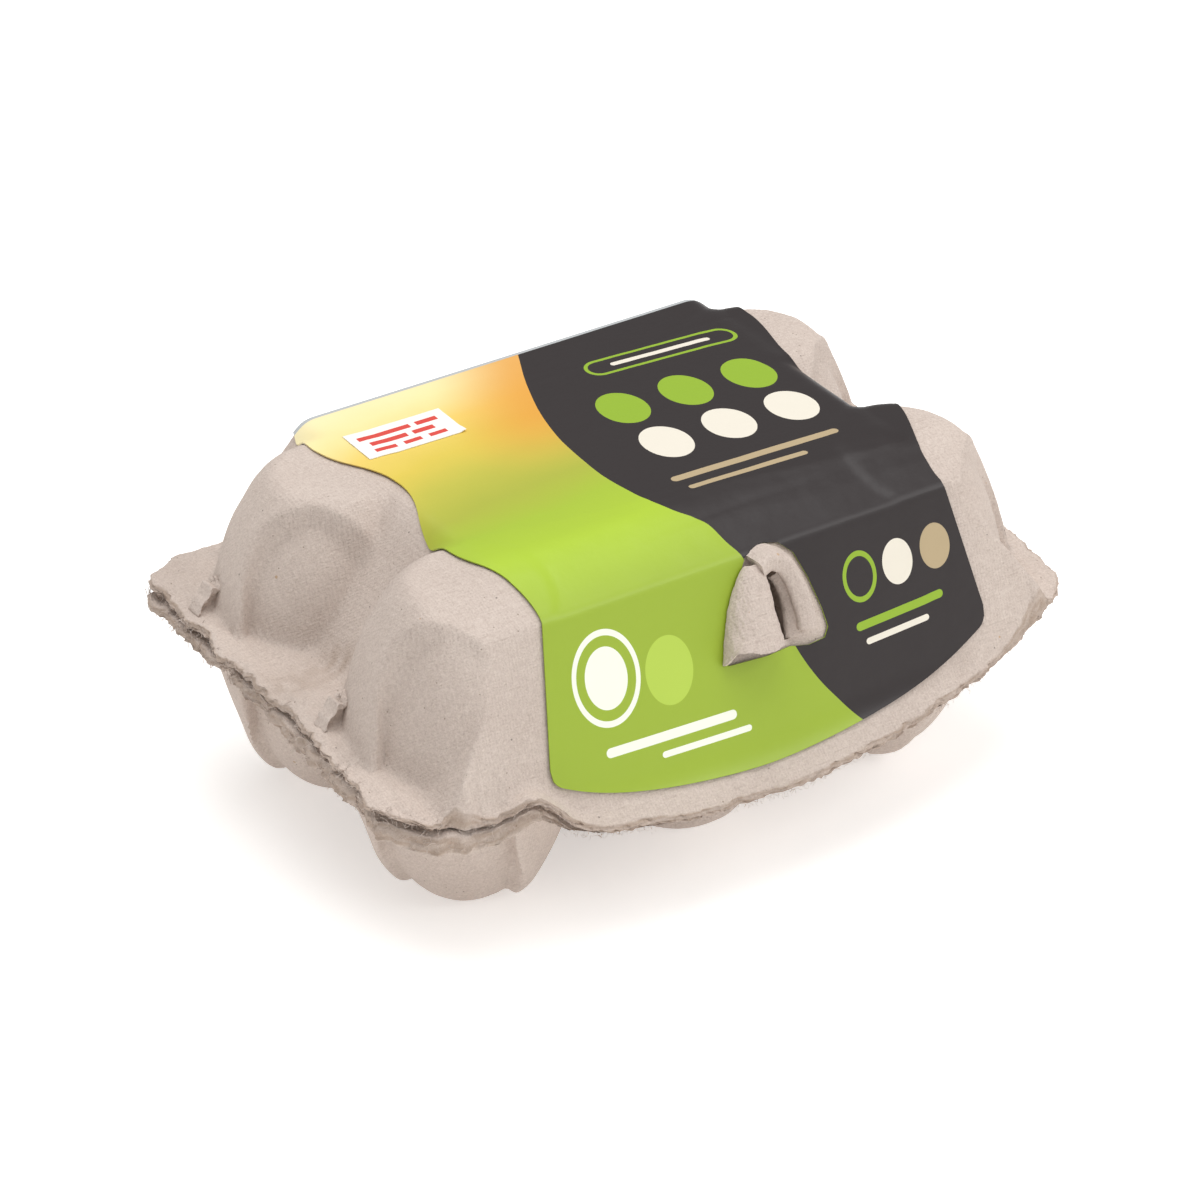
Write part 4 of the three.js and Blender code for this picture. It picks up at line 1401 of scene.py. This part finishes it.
def write_flat(obj, across, along):
    """Writes flat paper coordinates of every point to the UV map named flat."""
    layer = obj.data.uv_layers.new(name="flat")
    corners = np.zeros(len(obj.data.loops), int)
    obj.data.loops.foreach_get("vertex_index", corners)
    pairs = np.stack([across[corners], along[corners]], -1)
    layer.data.foreach_set("uv", pairs.reshape(-1))


class BuildLabel(bpy.types.Operator):
    """Builds the die-cut paper label draped over the lid, with its latch window"""

    bl_idname = "carton.label"
    bl_label = "Label"

    def execute(self, context):
        flange = context.scene.carton_sizes.flange / MM
        x, y = label_lattice()
        rise = label_creases(x, y)
        rise = rise * smooth_step(0, 3, LABEL_BACK_Y - y)
        lower = raised_lid(x, y, LABEL_GAP + rise, flange)
        upper = raised_lid(x, y, LABEL_GAP + LABEL_THICKNESS + rise, flange)
        obj = closed_body("label_paper", upper, lower)
        run = np.linalg.norm(np.diff(upper, axis=0), axis=-1)
        along = np.vstack([np.zeros(x.shape[1]), np.cumsum(run, axis=0)])
        crest = along[LABEL_FRONT_ROWS]
        middle = crest[x.shape[1] // 2]
        off = x - LABEL_X
        along = (along - crest + middle + LABEL_SKEW * off) / LABEL_RUN
        across = 0.5 + (off - LABEL_SKEW * (along * LABEL_RUN - middle)) / LABEL_SPAN
        write_flat(obj, np.tile(across.reshape(-1), 2), np.tile(along.reshape(-1), 2))
        cut_through(obj, WINDOW, -WINDOW_REACH, WINDOW_REACH)
        soften(obj, 45)
        paper = piece_material("Coated label paper", printed_paper, context)
        finish_piece(obj, paper, "label_paper", "label")
        return {"FINISHED"}


class BuildSticker(bpy.types.Operator):
    """Builds the small date sticker on the label"""

    bl_idname = "carton.sticker"
    bl_label = "Date sticker"

    def execute(self, context):
        flange = context.scene.carton_sizes.flange / MM
        s, t = np.meshgrid(np.linspace(0, 1, 61), np.linspace(0, 1, 31))
        px = (s - 0.5) * STICKER_SIZE[0]
        py = (t - 0.5) * STICKER_SIZE[1]
        x = STICKER_CENTRE[0] + px * math.cos(STICKER_TURN) - py * math.sin(STICKER_TURN)
        y = STICKER_CENTRE[1] + px * math.sin(STICKER_TURN) + py * math.cos(STICKER_TURN)
        base = LABEL_GAP + LABEL_THICKNESS + label_creases(x, y) + STICKER_GAP
        curl = STICKER_CURL * smooth_step(0.93, 1.0, s) * smooth_step(0.7, 1.0, 1 - t)
        lower = raised_lid(x, y, base + curl, flange)
        upper = raised_lid(x, y, base + STICKER_THICKNESS + curl, flange)
        obj = closed_body("sticker_paper", upper, lower)
        write_flat(obj, np.tile(s.reshape(-1), 2), np.tile(t.reshape(-1), 2))
        soften(obj, 45)
        paper = piece_material("Thermal sticker paper", sticker_paper, context)
        finish_piece(obj, paper, "sticker_paper", "date_sticker")
        return {"FINISHED"}


def soft_light(name, place, size, power):
    """A square softbox pointed at the carton."""
    lamp = bpy.data.lights.new(name, "AREA")
    lamp.size = size
    lamp.energy = power
    obj = new_object(name, lamp)
    obj.location = place
    obj.rotation_euler = (Vector(LIGHT_AIM) - Vector(place)).to_track_quat("-Z", "Y").to_euler()


class BuildStage(bpy.types.Operator):
    """Builds the pale floor, the soft studio lights and the camera"""

    bl_idname = "carton.stage"
    bl_label = "Stage"

    def execute(self, context):
        scene = context.scene
        corners = [(x * FLOOR_HALF, y * FLOOR_HALF, 0)
                   for x, y in ((-1, -1), (1, -1), (1, 1), (-1, 1))]
        floor = mesh_object("floor", corners, [], [(0, 1, 2, 3)])
        floor.data.materials.append(piece_material("White studio paper", pale_floor, context))
        for light in SOFT_LIGHTS:
            soft_light(*light)

        world = bpy.data.worlds.new("Soft white room")
        world.use_nodes = True
        world.node_tree.nodes["Background"].inputs[0].default_value = (1, 1, 1, 1)
        world.node_tree.nodes["Background"].inputs[1].default_value = ROOM_LIGHT
        scene.world = world
        scene.view_settings.view_transform = "Standard"

        right = Vector((math.cos(CAMERA_AZIMUTH), math.sin(CAMERA_AZIMUTH), 0))
        level = math.cos(CAMERA_ELEVATION)
        away = Vector((math.sin(CAMERA_AZIMUTH) * level, -math.cos(CAMERA_AZIMUTH) * level,
                       math.sin(CAMERA_ELEVATION)))
        anchor = Vector(CAMERA_ANCHOR)
        aim = anchor - right * AIM_LEFT - away.cross(right) * AIM_DOWN
        camera = new_object("camera", bpy.data.cameras.new("camera"))
        camera.data.lens = CAMERA_LENS
        camera.data.sensor_width = 36
        camera.data.clip_start = 0.05
        camera.location = anchor + away * CAMERA_DISTANCE
        camera.rotation_euler = (aim - camera.location).to_track_quat("-Z", "Y").to_euler()
        scene.camera = camera
        return {"FINISHED"}


OPERATORS = (BuildStage, BuildLid, BuildTray, BuildLugs, BuildTongue, BuildHood, BuildFibres,
             BuildLabel, BuildSticker)


class CartonPanel(bpy.types.Panel):
    """Sidebar panel with a button for each piece"""

    bl_idname = "VIEW3D_PT_egg_carton"
    bl_label = "Egg carton"
    bl_space_type = "VIEW_3D"
    bl_region_type = "UI"
    bl_category = "Egg carton"

    def draw(self, context):
        scene = context.scene
        for group in (scene.carton_sizes, scene.carton_looks):
            box = self.layout.box()
            for name in group.__annotations__:
                box.prop(group, name)
        for operator in OPERATORS:
            self.layout.operator(operator.bl_idname)


CLASSES = (CartonSizes, CartonLooks, *OPERATORS, CartonPanel)


def register():
    for cls in CLASSES:
        bpy.utils.register_class(cls)
    bpy.types.Scene.carton_sizes = bpy.props.PointerProperty(type=CartonSizes)
    bpy.types.Scene.carton_looks = bpy.props.PointerProperty(type=CartonLooks)


def unregister():
    del bpy.types.Scene.carton_looks
    del bpy.types.Scene.carton_sizes
    for cls in reversed(CLASSES):
        bpy.utils.unregister_class(cls)


def main():
    register()
    for operator in OPERATORS:
        family, action = operator.bl_idname.split(".")
        getattr(getattr(bpy.ops, family), action)()


if __name__ == "__main__":
    main()
